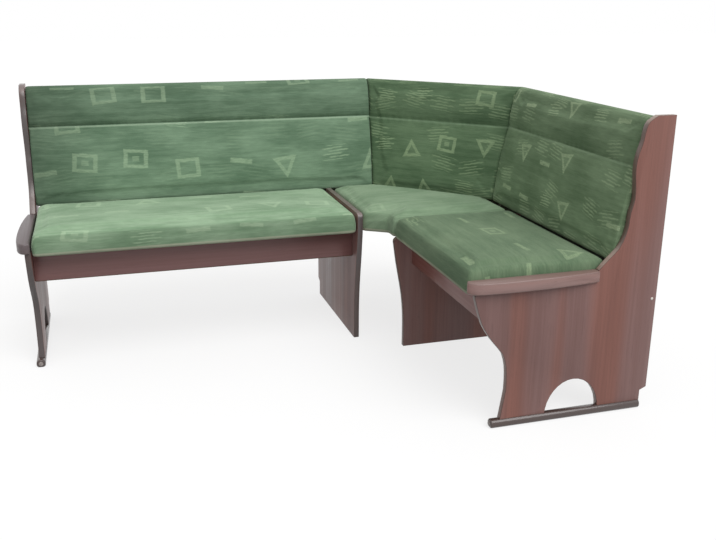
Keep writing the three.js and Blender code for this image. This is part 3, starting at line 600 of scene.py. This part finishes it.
def makeMotifGroup(forms, values):
    inputs = [
        ("Vector", vectorKind, None),
        ("Tile", floatKind, 0.16),
        ("Size", floatKind, 0.042),
        ("Turn", floatKind, 0.3),
        ("Seed", floatKind, 0.0),
        ("Frames", floatKind, 0.25),
        ("Triangles", floatKind, 0.5),
        ("Bars", floatKind, 0.75),
        ("Strokes", floatKind, 0.9),
    ]
    group, start, end = startGroup("wovenMotifs", inputs, ["Mask"])
    inputs = {"Vector": start["Vector"], "Scale": values["wobbleScale"]}
    wobble = addNode(group, "ShaderNodeTexNoise", inputs).outputs["Color"]
    wobble = vectorCalc(group, "SUBTRACT", wobble, (0.5, 0.5, 0.5))
    shift = vectorCalc(group, "SCALE", wobble, values["wobbleDepth"])
    place = vectorCalc(group, "ADD", start["Vector"], shift)
    perTile = calc(group, "DIVIDE", 1.0, start["Tile"])
    tiles = split(group, vectorCalc(group, "SCALE", place, perTile))
    x, row = (
        calc(group, "MULTIPLY_ADD", start["Seed"], step, tiles[i])
        for i, step in enumerate(values["seedSteps"])
    )
    rowNumber = calc(group, "FLOOR", row)
    x = calc(group, "MULTIPLY_ADD", rowNumber, values["rowStep"], x)
    cell = joined(group, calc(group, "FLOOR", x), rowNumber, start["Seed"])
    draw = addNode(group, "ShaderNodeTexWhiteNoise", {"Vector": cell}, noise_dimensions="3D")
    luck = addNode(group, "ShaderNodeSeparateColor", {0: draw.outputs["Color"]}).outputs
    local = [
        calc(group, "SUBTRACT", calc(group, "FRACT", along),
             calc(group, "MULTIPLY_ADD", luck[i], *values["middle"]))
        for i, along in enumerate((x, row))
    ]
    zoom = calc(group, "DIVIDE", start["Tile"], start["Size"])
    local = vectorCalc(group, "SCALE", joined(group, *local), zoom)
    angle = product(group, calc(group, "SUBTRACT", luck[2], 0.5), start["Turn"])
    inputs = {"Vector": local, "Angle": angle}
    turned = addNode(group, "ShaderNodeVectorRotate", inputs, rotation_type="Z_AXIS").outputs[0]
    x, y = split(group, turned)[:2]
    shapes = {
        "Frames": frameShape, "Triangles": triangleShape, "Bars": barShape, "Strokes": strokeShape,
    }
    mask, low = 0.0, 0.0
    for name, shape in shapes.items():
        above = calc(group, "GREATER_THAN", draw.outputs["Value"], low)
        below = calc(group, "LESS_THAN", draw.outputs["Value"], start[name])
        chosen = product(group, above, below)
        drawn = shape(group, x, y, luck, forms[name])
        mask = calc(group, "MULTIPLY_ADD", drawn, chosen, mask)
        low = start[name]
    brush = layer(group, start["Vector"], **values["brush"])
    worn = between(group, brush, *values["brushZone"])
    group.links.new(product(group, mask, worn), end["Mask"])
    return group


# Velour: brushed pile with cloudy crush marks

pileValues = {
    "clouds": {"stretch": (5, 9, 5), "detail": 3.0, "roughness": 0.55},
    "streaks": {"stretch": (7, 75, 7), "detail": 3.0, "roughness": 0.6},
    "brush": {"stretch": (26, 210, 26), "detail": 3.0, "roughness": 0.65},
    "pile": {"stretch": (900, 1100, 900), "roughness": 0.7},
    "shares": {"streaks": 0.34, "clouds": 0.66},
    "cloudZone": (0.34, 0.66),
    "brushZone": (0.3, 0.7),
}


def makePileGroup(values):
    inputs = [("Vector", vectorKind, None)]
    group, start, end = startGroup("velourPile", inputs, ["Clouds", "Brush", "Pile"])
    clouds, streaks, brush, pile = (
        layer(group, start["Vector"], **values[key])
        for key in ("clouds", "streaks", "brush", "pile")
    )
    clouds = product(group, clouds, values["shares"]["clouds"])
    both = calc(group, "MULTIPLY_ADD", streaks, values["shares"]["streaks"], clouds)
    group.links.new(between(group, both, *values["cloudZone"]), end["Clouds"])
    group.links.new(between(group, brush, *values["brushZone"]), end["Brush"])
    group.links.new(pile, end["Pile"])
    return group


wovenMotifs = makeMotifGroup(motifForms, motifPlace)
velourPile = makePileGroup(pileValues)

# Dark and middle are the limits of the brushed pile. Strength and hatch are those of the motifs and
# of the strokes behind them, tile and size theirs in metres, top the painted light on faces that
# look up, band the tone above a seam, seam the strength of the painted shadow and highlight at the
# seam, and endShade the painted shade at the bench's left end
velourLooks = {
    "longSeatVelour": {
        "dark": (108, 134, 106), "middle": (138, 162, 134), "motif": (168, 190, 158),
        "strength": 0.4, "tile": 0.17, "size": 0.042, "hatch": 0.0, "seed": 1.0,
        "sheen": 0.5, "top": 1.24,
    },
    "longBackVelour": {
        "dark": (94, 120, 96), "middle": (124, 150, 124), "motif": (158, 182, 150),
        "strength": 0.6, "tile": 0.17, "size": 0.044, "hatch": 0.12, "seed": 4.0,
        "sheen": 0.25, "top": 1.0, "band": 0.82, "seam": 1.0, "endShade": 0.62,
    },
    "shortSeatVelour": {
        "dark": (90, 112, 86), "middle": (114, 134, 106), "motif": (150, 170, 134),
        "strength": 0.6, "tile": 0.15, "size": 0.038, "hatch": 0.0, "seed": 7.0,
        "sheen": 0.35, "top": 1.0,
    },
    "shortBackVelour": {
        "dark": (98, 120, 90), "middle": (128, 150, 118), "motif": (170, 190, 152),
        "strength": 0.7, "tile": 0.13, "size": 0.034, "hatch": 0.5, "seed": 9.0,
        "sheen": 0.2, "top": 1.0, "band": 0.9, "seam": 0.3, "endShade": 1.0,
    },
    "cornerSeatVelour": {
        "dark": (110, 134, 106), "middle": (134, 156, 128), "motif": (156, 178, 146),
        "strength": 0.35, "tile": 0.17, "size": 0.038, "hatch": 0.0, "seed": 12.0,
        "sheen": 0.4, "top": 1.05,
    },
    "cornerBackVelour": {
        "dark": (82, 106, 78), "middle": (110, 134, 103), "motif": (154, 176, 137),
        "strength": 0.7, "tile": 0.14, "size": 0.036, "hatch": 0.5, "seed": 15.0,
        "sheen": 0.2, "top": 1.0, "band": 0.88, "seam": 0.3, "endShade": 1.0,
    },
}

# A tile's luck falls below one of these shares, in this order, or the tile stays plain
motifShares = {"Frames": 0.22, "Triangles": 0.42, "Bars": 0.68, "Strokes": 0.86}
hatchShares = {"Frames": 0.0, "Triangles": 0.0, "Bars": 0.0, "Strokes": 0.7}
hatchScale = {"tile": 0.8, "size": 1.15, "turn": 0.5, "seed": 2.3}

# The painted highlight on the fold sets in at the height top and is full at the height solid
paintedFoldHighlightLook = {"color": (190, 187, 166), "share": 0.5, "top": 0.4025, "solid": 0.3985}

# Places in metres from the seam, positive above it: where a line starts and where it is full
seamLook = {
    "band": (-0.001, 0.001),
    # A painted shadow above the seam
    "above": {
        "color": (46, 66, 46), "share": 0.5, "far": (0.008, 0.002), "near": (-0.001, 0.0005),
    },
    # A painted highlight below the seam
    "below": {
        "color": (170, 190, 164), "share": 0.4, "far": (-0.009, -0.005), "near": (0.0, -0.002),
    },
}
# Painted shade at the long back's left end: full at the first place, gone at the second
endShadePlace = (-0.86, -0.52)  # along the long bench, from its left end
clothValues = {
    "seedShift": 0.37,
    "topZone": (0.35, 0.95),
    "brushTone": (0.94, 1.06),
    "roughness": 0.92,
    "specular": 0.15,
    "sheenRoughness": 0.4,
    "sheenTint": (206, 222, 200),
    "motifHeight": 0.8,
    "brushHeight": 0.5,
    "bump": (0.5, 0.0006),
}


def drawMotifs(tree, cloth, look):
    inputs = {"Vector": cloth, "Tile": look["tile"], "Size": look["size"], "Seed": look["seed"]}
    woven = useGroup(tree, wovenMotifs, dict(inputs, **motifShares))["Mask"]
    inputs = {
        "Vector": cloth,
        "Tile": look["tile"] * hatchScale["tile"],
        "Size": look["size"] * hatchScale["size"],
        "Seed": look["seed"] + hatchScale["seed"],
        "Turn": hatchScale["turn"],
    }
    hatch = useGroup(tree, wovenMotifs, dict(inputs, **hatchShares))["Mask"]
    strong, faint = product(tree, woven, look["strength"]), product(tree, hatch, look["hatch"])
    return woven, calc(tree, "MAXIMUM", strong, faint)


# Paints shade at the bench's left end, gives the band above a seam its tone, and paints a shadow
# above the seam and a highlight below it
def drawSeamAndPaintedShading(tree, base, tone, along, look):
    away = addNode(tree, "ShaderNodeAttribute", attribute_name="seam").outputs["Fac"]
    end = between(tree, along, *endShadePlace, look["endShade"], 1.0)
    band = between(tree, away, *seamLook["band"], 1.0, look["band"])
    for paintedLine in (seamLook["above"], seamLook["below"]):
        mask = product(tree, between(tree, away, *paintedLine["far"]), between(tree, away, *paintedLine["near"]))
        share = product(tree, mask, paintedLine["share"] * look["seam"])
        base = mixColors(tree, share, base, linear(*paintedLine["color"]))
    return base, product(tree, tone, end, band)


def makeVelour(name, look, seamed, values):
    material, tree, shader = startMaterial(name)
    cloth = addNode(tree, "ShaderNodeUVMap", uv_map="cloth").outputs[0]
    shift = (look["seed"], look["seed"] * values["seedShift"], 0)
    pile = useGroup(tree, velourPile, {"Vector": vectorCalc(tree, "ADD", cloth, shift)})
    base = mixColors(tree, pile["Clouds"], linear(*look["dark"]), linear(*look["middle"]))
    woven, motifs = drawMotifs(tree, cloth, look)
    base = mixColors(tree, motifs, base, linear(*look["motif"]))
    coords = addNode(tree, "ShaderNodeTexCoord").outputs
    place, facing = split(tree, coords["Object"]), split(tree, coords["Normal"])
    # Faces that look up are painted lighter by the look's top factor: painted light
    paintedTopShading = between(tree, facing[2], *values["topZone"], 1.0, look["top"])
    tone = product(tree, between(tree, pile["Brush"], 0.0, 1.0, *values["brushTone"]), paintedTopShading)
    if seamed:
        base, tone = drawSeamAndPaintedShading(tree, base, tone, place[0], look)
    else:
        # A pale painted highlight on the fold where the cloth turns under a seat
        foldHighlight = between(tree, place[2], paintedFoldHighlightLook["top"], paintedFoldHighlightLook["solid"])
        share = product(tree, foldHighlight, paintedFoldHighlightLook["share"])
        base = mixColors(tree, share, base, linear(*paintedFoldHighlightLook["color"]))
    shade = vectorCalc(tree, "MULTIPLY", base, joined(tree, tone, tone, tone))
    tree.links.new(shade, shader.inputs["Base Color"])
    shader.inputs["Roughness"].default_value = values["roughness"]
    shader.inputs["Specular IOR Level"].default_value = values["specular"]
    shader.inputs["Sheen Weight"].default_value = look["sheen"]
    shader.inputs["Sheen Roughness"].default_value = values["sheenRoughness"]
    shader.inputs["Sheen Tint"].default_value = linear(*values["sheenTint"])
    height = calc(tree, "MULTIPLY_ADD", pile["Brush"], values["brushHeight"], pile["Pile"])
    height = calc(tree, "MULTIPLY_ADD", woven, values["motifHeight"], height)
    addBump(tree, shader, height, *values["bump"])
    return material


velours = {
    name: makeVelour(name, look, "Back" in name, clothValues)
    for name, look in velourLooks.items()
}
print("velour made")


# Cushions: the frame's form, remeshed, stuffed and sewn

cushionValues = {
    "voxel": 0.0065,
    "smoothing": {"factor": 0.5, "iterations": 2},
    "pressure": 4.0,
    "frames": 20,
    "mass": 0.3,
    "stretchStiffness": 12,
    "shearStiffness": 5,
    "bendStiffness": 0.3,
    "quality": 4,
    "seatLimits": {"rise": 0.008, "sink": 0.001, "side": 0.0015},  # how far a free point may move
    "backLimits": {"rise": 0.005, "sink": 0.0, "side": 0.0},
    "lidRearRise": 0.4,  # share of the rise by a lid's rear edge, where it turns close to the back
    "lidRearZone": (0.15, 0.27),  # inset from the rear edge over which the rest returns
    "edgeBlend": 0.045,  # a back's swelling grows over this distance from its edges
    "rearKept": 0.35,  # share of the rear edge's roll that a lid's cushion keeps
    "rearReach": 0.045,
    "rearUpper": (0.5, 0.65),  # shares of the thickness over which that sets in
    "held": 0.3,  # share of the thickness, from the underside, that stays
    "heldBlend": 0.25,
    "bandHeight": 0.140,  # top of a back to its seam
    "drapeZone": (0.1, 0.9),  # how far a face turns from level before cloth runs down it
    "grooveHalf": 0.002,  # the frame's sewn groove
    "grooveReach": 0.02,
    "grooveDrop": 0.006,
    "seamDepth": {"long": 0.0055, "corner": 0.003, "short": 0.003},
    "seamAbove": 0.009,  # how far the groove fades out above the seam
    "seamBelow": 0.0035,
    "puckerDepth": 0.0007,
    "puckerWidth": 0.014,
    "puckerSpacing": 0.030,
    "puckerDrift": {"scale": 23, "depth": 1.7},
    "frontZone": (0.4, 0.8),  # how far a face looks at the room before it is sewn
    "clothShift": (0.413, 0.227),  # between the cloth below a seam and the piece above it
}


def backAxes(boardNode):
    # The way a back faces is that of its board's largest face on the room's side
    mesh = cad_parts[boardNode].data
    sums = {}
    for face in mesh.polygons:
        key = tuple(round(c, 2) for c in face.normal)
        sums[key] = sums.get(key, Vector()) + face.normal * face.area
    facing = max((s for s in sums.values() if s.x + s.y < 0), key=lambda s: s.length).normalized()
    along = Vector((0, 0, 1)).cross(facing).normalized()
    return along, facing.cross(along), facing


def rowsOf(axes):
    return np.array([list(axis) for axis in axes])


def inAxes(places, axes):
    return places @ rowsOf(axes).T


def outOfAxes(local, axes):
    return local @ rowsOf(axes)


def remesh(piece, values):
    activate(piece)
    piece.data.remesh_voxel_size = values["voxel"]
    piece.data.remesh_voxel_adaptivity = 0
    bpy.ops.object.voxel_remesh()
    smooth = piece.modifiers.new("smooth", "SMOOTH")
    smooth.factor = values["smoothing"]["factor"]
    smooth.iterations = values["smoothing"]["iterations"]
    applyModifiers(piece)


def stuff(piece, axes, limits, values, onLid):
    # Swells the free part of a cushion with air pressure and caps how far each point goes
    start = readVertices(piece, "co")
    local = inAxes(start, axes)
    low, high = local[:, 2].min(), local[:, 2].max()
    share = (local[:, 2] - low) / (high - low)
    free = smoothStep(values["held"], values["held"] + values["heldBlend"], share)
    group = piece.vertex_groups.new(name="held")
    for i, part in enumerate(free):
        if part < 1:
            group.add([i], float(1 - part), "REPLACE")
    cloth = piece.modifiers.new("stuffing", "CLOTH")
    cloth.settings.quality = values["quality"]
    cloth.settings.mass = values["mass"]
    cloth.settings.tension_stiffness = values["stretchStiffness"]
    cloth.settings.compression_stiffness = values["stretchStiffness"]
    cloth.settings.shear_stiffness = values["shearStiffness"]
    cloth.settings.bending_stiffness = values["bendStiffness"]
    cloth.settings.use_pressure = True
    cloth.settings.uniform_pressure_force = values["pressure"]
    cloth.settings.effector_weights.gravity = 0
    cloth.settings.vertex_group_mass = "held"
    cloth.point_cache.frame_start = 1
    cloth.point_cache.frame_end = values["frames"]
    for number in range(1, values["frames"] + 1):
        scene.frame_set(number)
    shown = piece.evaluated_get(bpy.context.evaluated_depsgraph_get())
    moved = np.empty(len(shown.data.vertices) * 3, np.float32)
    shown.data.vertices.foreach_get("co", moved)
    shift = inAxes(moved.reshape(-1, 3) - start, axes)
    rise = limits["rise"]
    if onLid:
        least, inset = values["lidRearRise"], local[:, 1].max() - local[:, 1]
        rise = rise * (least + (1 - least) * smoothStep(*values["lidRearZone"], inset))
    shift[:, 2] = np.clip(shift[:, 2], -limits["sink"], rise)
    sideways = np.linalg.norm(shift[:, :2], axis=1)
    shift[:, :2] *= np.minimum(1, limits["side"] / np.maximum(sideways, 1e-9))[:, None]
    shift *= free[:, None]
    if limits["side"] == 0:
        # The edges of a back stay where they are
        ends = local[:, :2]
        margin = np.minimum(ends - ends.min(axis=0), ends.max(axis=0) - ends).min(axis=1)
        shift *= smoothStep(0, values["edgeBlend"], margin)[:, None]
    piece.modifiers.remove(cloth)
    piece.vertex_groups.remove(group)
    scene.frame_set(1)
    moveVertices(piece, start + outOfAxes(shift, axes))


def layCloth(piece, axes, seam, values):
    # Cloth coordinates run over the crown and down every side, and start anew above a seam
    local = inAxes(readVertices(piece, "co"), axes)
    facing = inAxes(readVertices(piece, "normal"), axes)
    drop = local[:, 2].max() - local[:, 2]
    flat = facing[:, :2]
    length = np.linalg.norm(flat, axis=1)
    spread = drop * smoothStep(*values["drapeZone"], length) / np.maximum(length, 1e-6)
    cloth = local[:, :2] + flat * spread[:, None]
    corners = np.empty(len(piece.data.loops), np.int32)
    piece.data.loops.foreach_get("vertex_index", corners)
    placed = cloth[corners]
    if seam is not None:
        away = local[:, 1] - seam
        seamPlace = piece.data.attributes.new("seam", "FLOAT", "POINT")
        seamPlace.data.foreach_set("value", away.astype(np.float32))
        sizes = np.empty(len(piece.data.polygons), np.int32)
        piece.data.polygons.foreach_get("loop_total", sizes)
        starts = np.concatenate([[0], np.cumsum(sizes)[:-1]])
        faceAway = np.add.reduceat(away[corners], starts) / sizes
        placed += np.repeat(faceAway > 0, sizes)[:, None] * np.array(values["clothShift"])
    clothMap = piece.data.uv_layers.new(name="cloth")
    clothMap.data.foreach_set("uv", placed.astype(np.float32).ravel())


def fillOldSeam(piece, axes, seam, values):
    # Lifts the frame's sewn groove back to the face, because a remesh leaves it ragged
    local = inAxes(readVertices(piece, "co"), axes)
    top = local[:, 2].max()
    groove = np.abs(local[:, 1] - seam) < values["grooveHalf"]
    groove &= local[:, 2] > top - values["grooveReach"]
    local[groove, 2] = top - values["grooveDrop"]
    moveVertices(piece, outOfAxes(local, axes))


def tightenRear(piece, axes, values):
    # Brings the rolled rear edge of a lid's cushion nearer to the back
    local = inAxes(readVertices(piece, "co"), axes)
    low, high = local[:, 2].min(), local[:, 2].max()
    upper = smoothStep(*values["rearUpper"], (local[:, 2] - low) / (high - low))
    rear = local[:, 1].max()
    inset = rear - local[:, 1]
    least = values["rearKept"]
    kept = least + (1 - least) * smoothStep(0, values["rearReach"], inset)
    local[:, 1] = rear - inset * (1 - upper * (1 - kept))
    moveVertices(piece, outOfAxes(local, axes))


def sewSeam(piece, axes, seam, values):
    # The band above dips gently to the seam and the panel below turns in sharply
    local = inAxes(readVertices(piece, "co"), axes)
    away = local[:, 1] - seam
    facing = inAxes(readVertices(piece, "normal"), axes)[:, 2]
    front = smoothStep(*values["frontZone"], facing)
    width = np.where(away > 0, values["seamAbove"], values["seamBelow"])
    dip = np.exp(-((away / width) ** 2)) * values["seamDepth"][piece.name.split("_")[0]]
    pucker = np.exp(-((away / values["puckerWidth"]) ** 2)) * values["puckerDepth"]
    drift = values["puckerDrift"]
    drifted = np.sin(local[:, 0] * drift["scale"]) * drift["depth"]
    wave = np.sin(local[:, 0] / values["puckerSpacing"] * 2 * math.pi + drifted)
    local[:, 2] -= (dip + pucker * wave) * front
    moveVertices(piece, outOfAxes(local, axes))


def makeCushion(node, name, material, body, axes, seamed=False):
    values = cushionValues
    onLid = body != "frame"
    piece = copyOfNode(node, name)
    seam = None
    if seamed:
        seam = inAxes(readVertices(piece, "co"), axes)[:, 1].max() - values["bandHeight"]
        fillOldSeam(piece, axes, seam, values)
    elif onLid:
        tightenRear(piece, axes, values)
    remesh(piece, values)
    stuff(piece, axes, values["backLimits" if seamed else "seatLimits"], values, onLid)
    finer = piece.modifiers.new("finer", "SUBSURF")
    finer.levels = finer.render_levels = 1
    applyModifiers(piece)
    if seamed:
        sewSeam(piece, axes, seam, values)
    layCloth(piece, axes, seam, values)
    activate(piece)
    bpy.ops.object.shade_smooth()
    piece.data.materials.append(material)
    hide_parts(node)
    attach(piece, body)
    print("cushion", name, len(piece.data.polygons), "faces")


level = (Vector((1, 0, 0)), Vector((0, 1, 0)), Vector((0, 0, 1)))
levelShort = (Vector((0, -1, 0)), Vector((1, 0, 0)), Vector((0, 0, 1)))
bodies = {"long": "long_lid", "short": "short_lid", "corner": "frame"}
for side, axes in (("long", level), ("short", levelShort), ("corner", level)):
    makeCushion(f"{side}_seat_cushion", f"{side}_seat_pad", velours[side + "SeatVelour"],
                bodies[side], axes)
    makeCushion(f"{side}_back_cushion", f"{side}_back_pad", velours[side + "BackVelour"],
                "frame", backAxes(f"{side}_back_board"), seamed=True)
print("cushions done")


# Laminate boards: copies of the frame's boards with eased, banded edges

boardValues = {
    "flatAngle": 0.5,
    "faceCosine": 0.7,
    "ease": 0.0008,
    "easeSegments": 2,
    "creaseAngle": 38,
}

laminateBoards = {
    "end_panel": {"long": ("x", panelUp), "short": ("y", panelUp)},
    "inner_panel": {"long": ("x", panelUp), "short": ("y", panelUp)},
    "front_apron": {"long": ("y", apronAlongX), "short": ("x", apronAlongY)},
    "rear_rail": {"long": ("y", apronAlongX), "short": ("x", apronAlongY)},
    "hinge_rail": {"long": ("y", apronAlongX), "short": ("x", apronAlongY)},
    "arm_cap": {
        "long": (None, makeLaminate("longCap", "y")),
        "short": (None, makeLaminate("shortCap", "x")),
    },
    "foot_runner": {
        "long": (None, makeLaminate("runner", "y")),
        "short": (None, makeLaminate("runner", "x")),
    },
}


def easeBoard(piece, thinAxis, values):
    # Flat faces are made whole, the narrow ones take the edge band, and every sharp edge is eased
    activate(piece)
    bpy.ops.object.mode_set(mode="EDIT")
    bpy.ops.mesh.select_all(action="SELECT")
    bpy.ops.mesh.dissolve_limited(angle_limit=math.radians(values["flatAngle"]))
    bpy.ops.object.mode_set(mode="OBJECT")
    if thinAxis is not None:
        for face in piece.data.polygons:
            wide = abs(face.normal.dot(thinAxis)) > values["faceCosine"]
            face.material_index = 0 if wide else 1
    ease = piece.modifiers.new("ease", "BEVEL")
    ease.width = values["ease"]
    ease.segments = values["easeSegments"]
    ease.limit_method = "ANGLE"
    ease.angle_limit = math.radians(values["creaseAngle"])
    if thinAxis is not None:
        ease.material = 2
    applyModifiers(piece)
    bpy.ops.object.shade_smooth_by_angle(angle=math.radians(values["creaseAngle"]))


def addLaminateBoard(node, material, thinAxis):
    piece = copyOfNode(node, node + "_board")
    piece.data.materials.append(material)
    if thinAxis is not None:
        piece.data.materials.append(edgeBands["long" if "long" in node else "short"])
        piece.data.materials.append(bandSeam)
    easeBoard(piece, thinAxis, boardValues)
    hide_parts(node)
    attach(piece, "frame")


axisOf = {"x": Vector((1, 0, 0)), "y": Vector((0, 1, 0)), None: None}
for part, sides in laminateBoards.items():
    for side, (thin, material) in sides.items():
        addLaminateBoard(f"{side}_{part}", material, axisOf[thin])
for side in ("long", "short"):
    addLaminateBoard(f"corner_{side}_gusset", panelUp, Vector((1, -1, 0)).normalized())
print("laminate boards done")


# The other hard pieces keep the frame's own meshes

finishes = {}
for side in ("long", "short", "corner"):
    along, _, facing = backAxes(f"{side}_back_board")
    turn = levelGrainTurn(along)
    boardPlywood = makePlywood(side + "BackPlywood", tuple(facing), turn, True, plywoodLook)
    finishes[f"{side}_back_board"] = boardPlywood
    finishes[f"{side}_seat_board"] = plywoodFlat
    if side == "corner":
        continue
    finishes[f"{side}_back_cleat"] = boardPlywood
    finishes[f"{side}_box_floor"] = hardboard
    finishes[f"{side}_runner_plug"] = plugPlastic
    finishes[f"{side}_screw_cap"] = capPlastic
    finishes[f"corner_{side}_ledger"] = plywoodFlat
finishes["corner_rail_angle"] = zincSteel
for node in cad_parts:
    if "_hinge_" in node and not node.endswith("_hinge_rail"):
        finishes[node] = zincSteel
for node, material in finishes.items():
    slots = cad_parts[node].data.materials
    slots.clear()
    slots.append(material)
print("hard finishes done")


# Floor, world and lamp

studio = {
    "floorSize": 40.0,
    "floorDrop": 0.0005,
    "floorColor": (132, 132, 132),
    "floorGlow": 0.77,
    "worldLight": 0.6,
    "sunLight": 2.0,
    "sunSpread": 50,
    "sunFrom": (0.22, -0.6, 0.77),
}


def seenDirectly(tree):
    # One for what the camera sees, and for what gloss and glass show
    path = addNode(tree, "ShaderNodeLightPath").outputs
    both = calc(tree, "MAXIMUM", path["Is Camera Ray"], path["Is Glossy Ray"])
    return calc(tree, "MAXIMUM", both, path["Is Transmission Ray"])


def addFloor(values):
    place = (0, 0, -values["floorDrop"])
    bpy.ops.mesh.primitive_plane_add(size=values["floorSize"], location=place)
    floor = bpy.context.object
    floor.name = "floor"
    bpy.ops.object.transform_apply(location=True, rotation=False, scale=False)
    material, tree, shader = startMaterial("floor")
    tree.nodes.remove(shader)
    matt = addNode(tree, "ShaderNodeBsdfDiffuse", {"Color": linear(*values["floorColor"])})
    strength = product(tree, seenDirectly(tree), values["floorGlow"])
    glow = addNode(tree, "ShaderNodeEmission", {"Strength": strength})
    both = addNode(tree, "ShaderNodeAddShader", {0: matt.outputs[0], 1: glow.outputs[0]})
    tree.links.new(both.outputs[0], tree.nodes["Material Output"].inputs[0])
    floor.data.materials.append(material)


def addWorld(values):
    world = bpy.data.worlds.new("room")
    scene.world = world
    world.use_nodes = True
    tree = world.node_tree
    back = tree.nodes["Background"]
    back.inputs["Color"].default_value = (1, 1, 1, 1)
    strength = calc(tree, "MAXIMUM", seenDirectly(tree), values["worldLight"])
    tree.links.new(strength, back.inputs["Strength"])


def addSun(values):
    data = bpy.data.lights.new("sun", "SUN")
    data.energy = values["sunLight"]
    data.angle = math.radians(values["sunSpread"])
    lamp = bpy.data.objects.new("sun", data)
    lamp.rotation_euler = Vector(values["sunFrom"]).to_track_quat("Z", "Y").to_euler()
    scene.collection.objects.link(lamp)


addFloor(studio)
addWorld(studio)
addSun(studio)
scene.view_settings.view_transform = "Standard"
print("studio done")
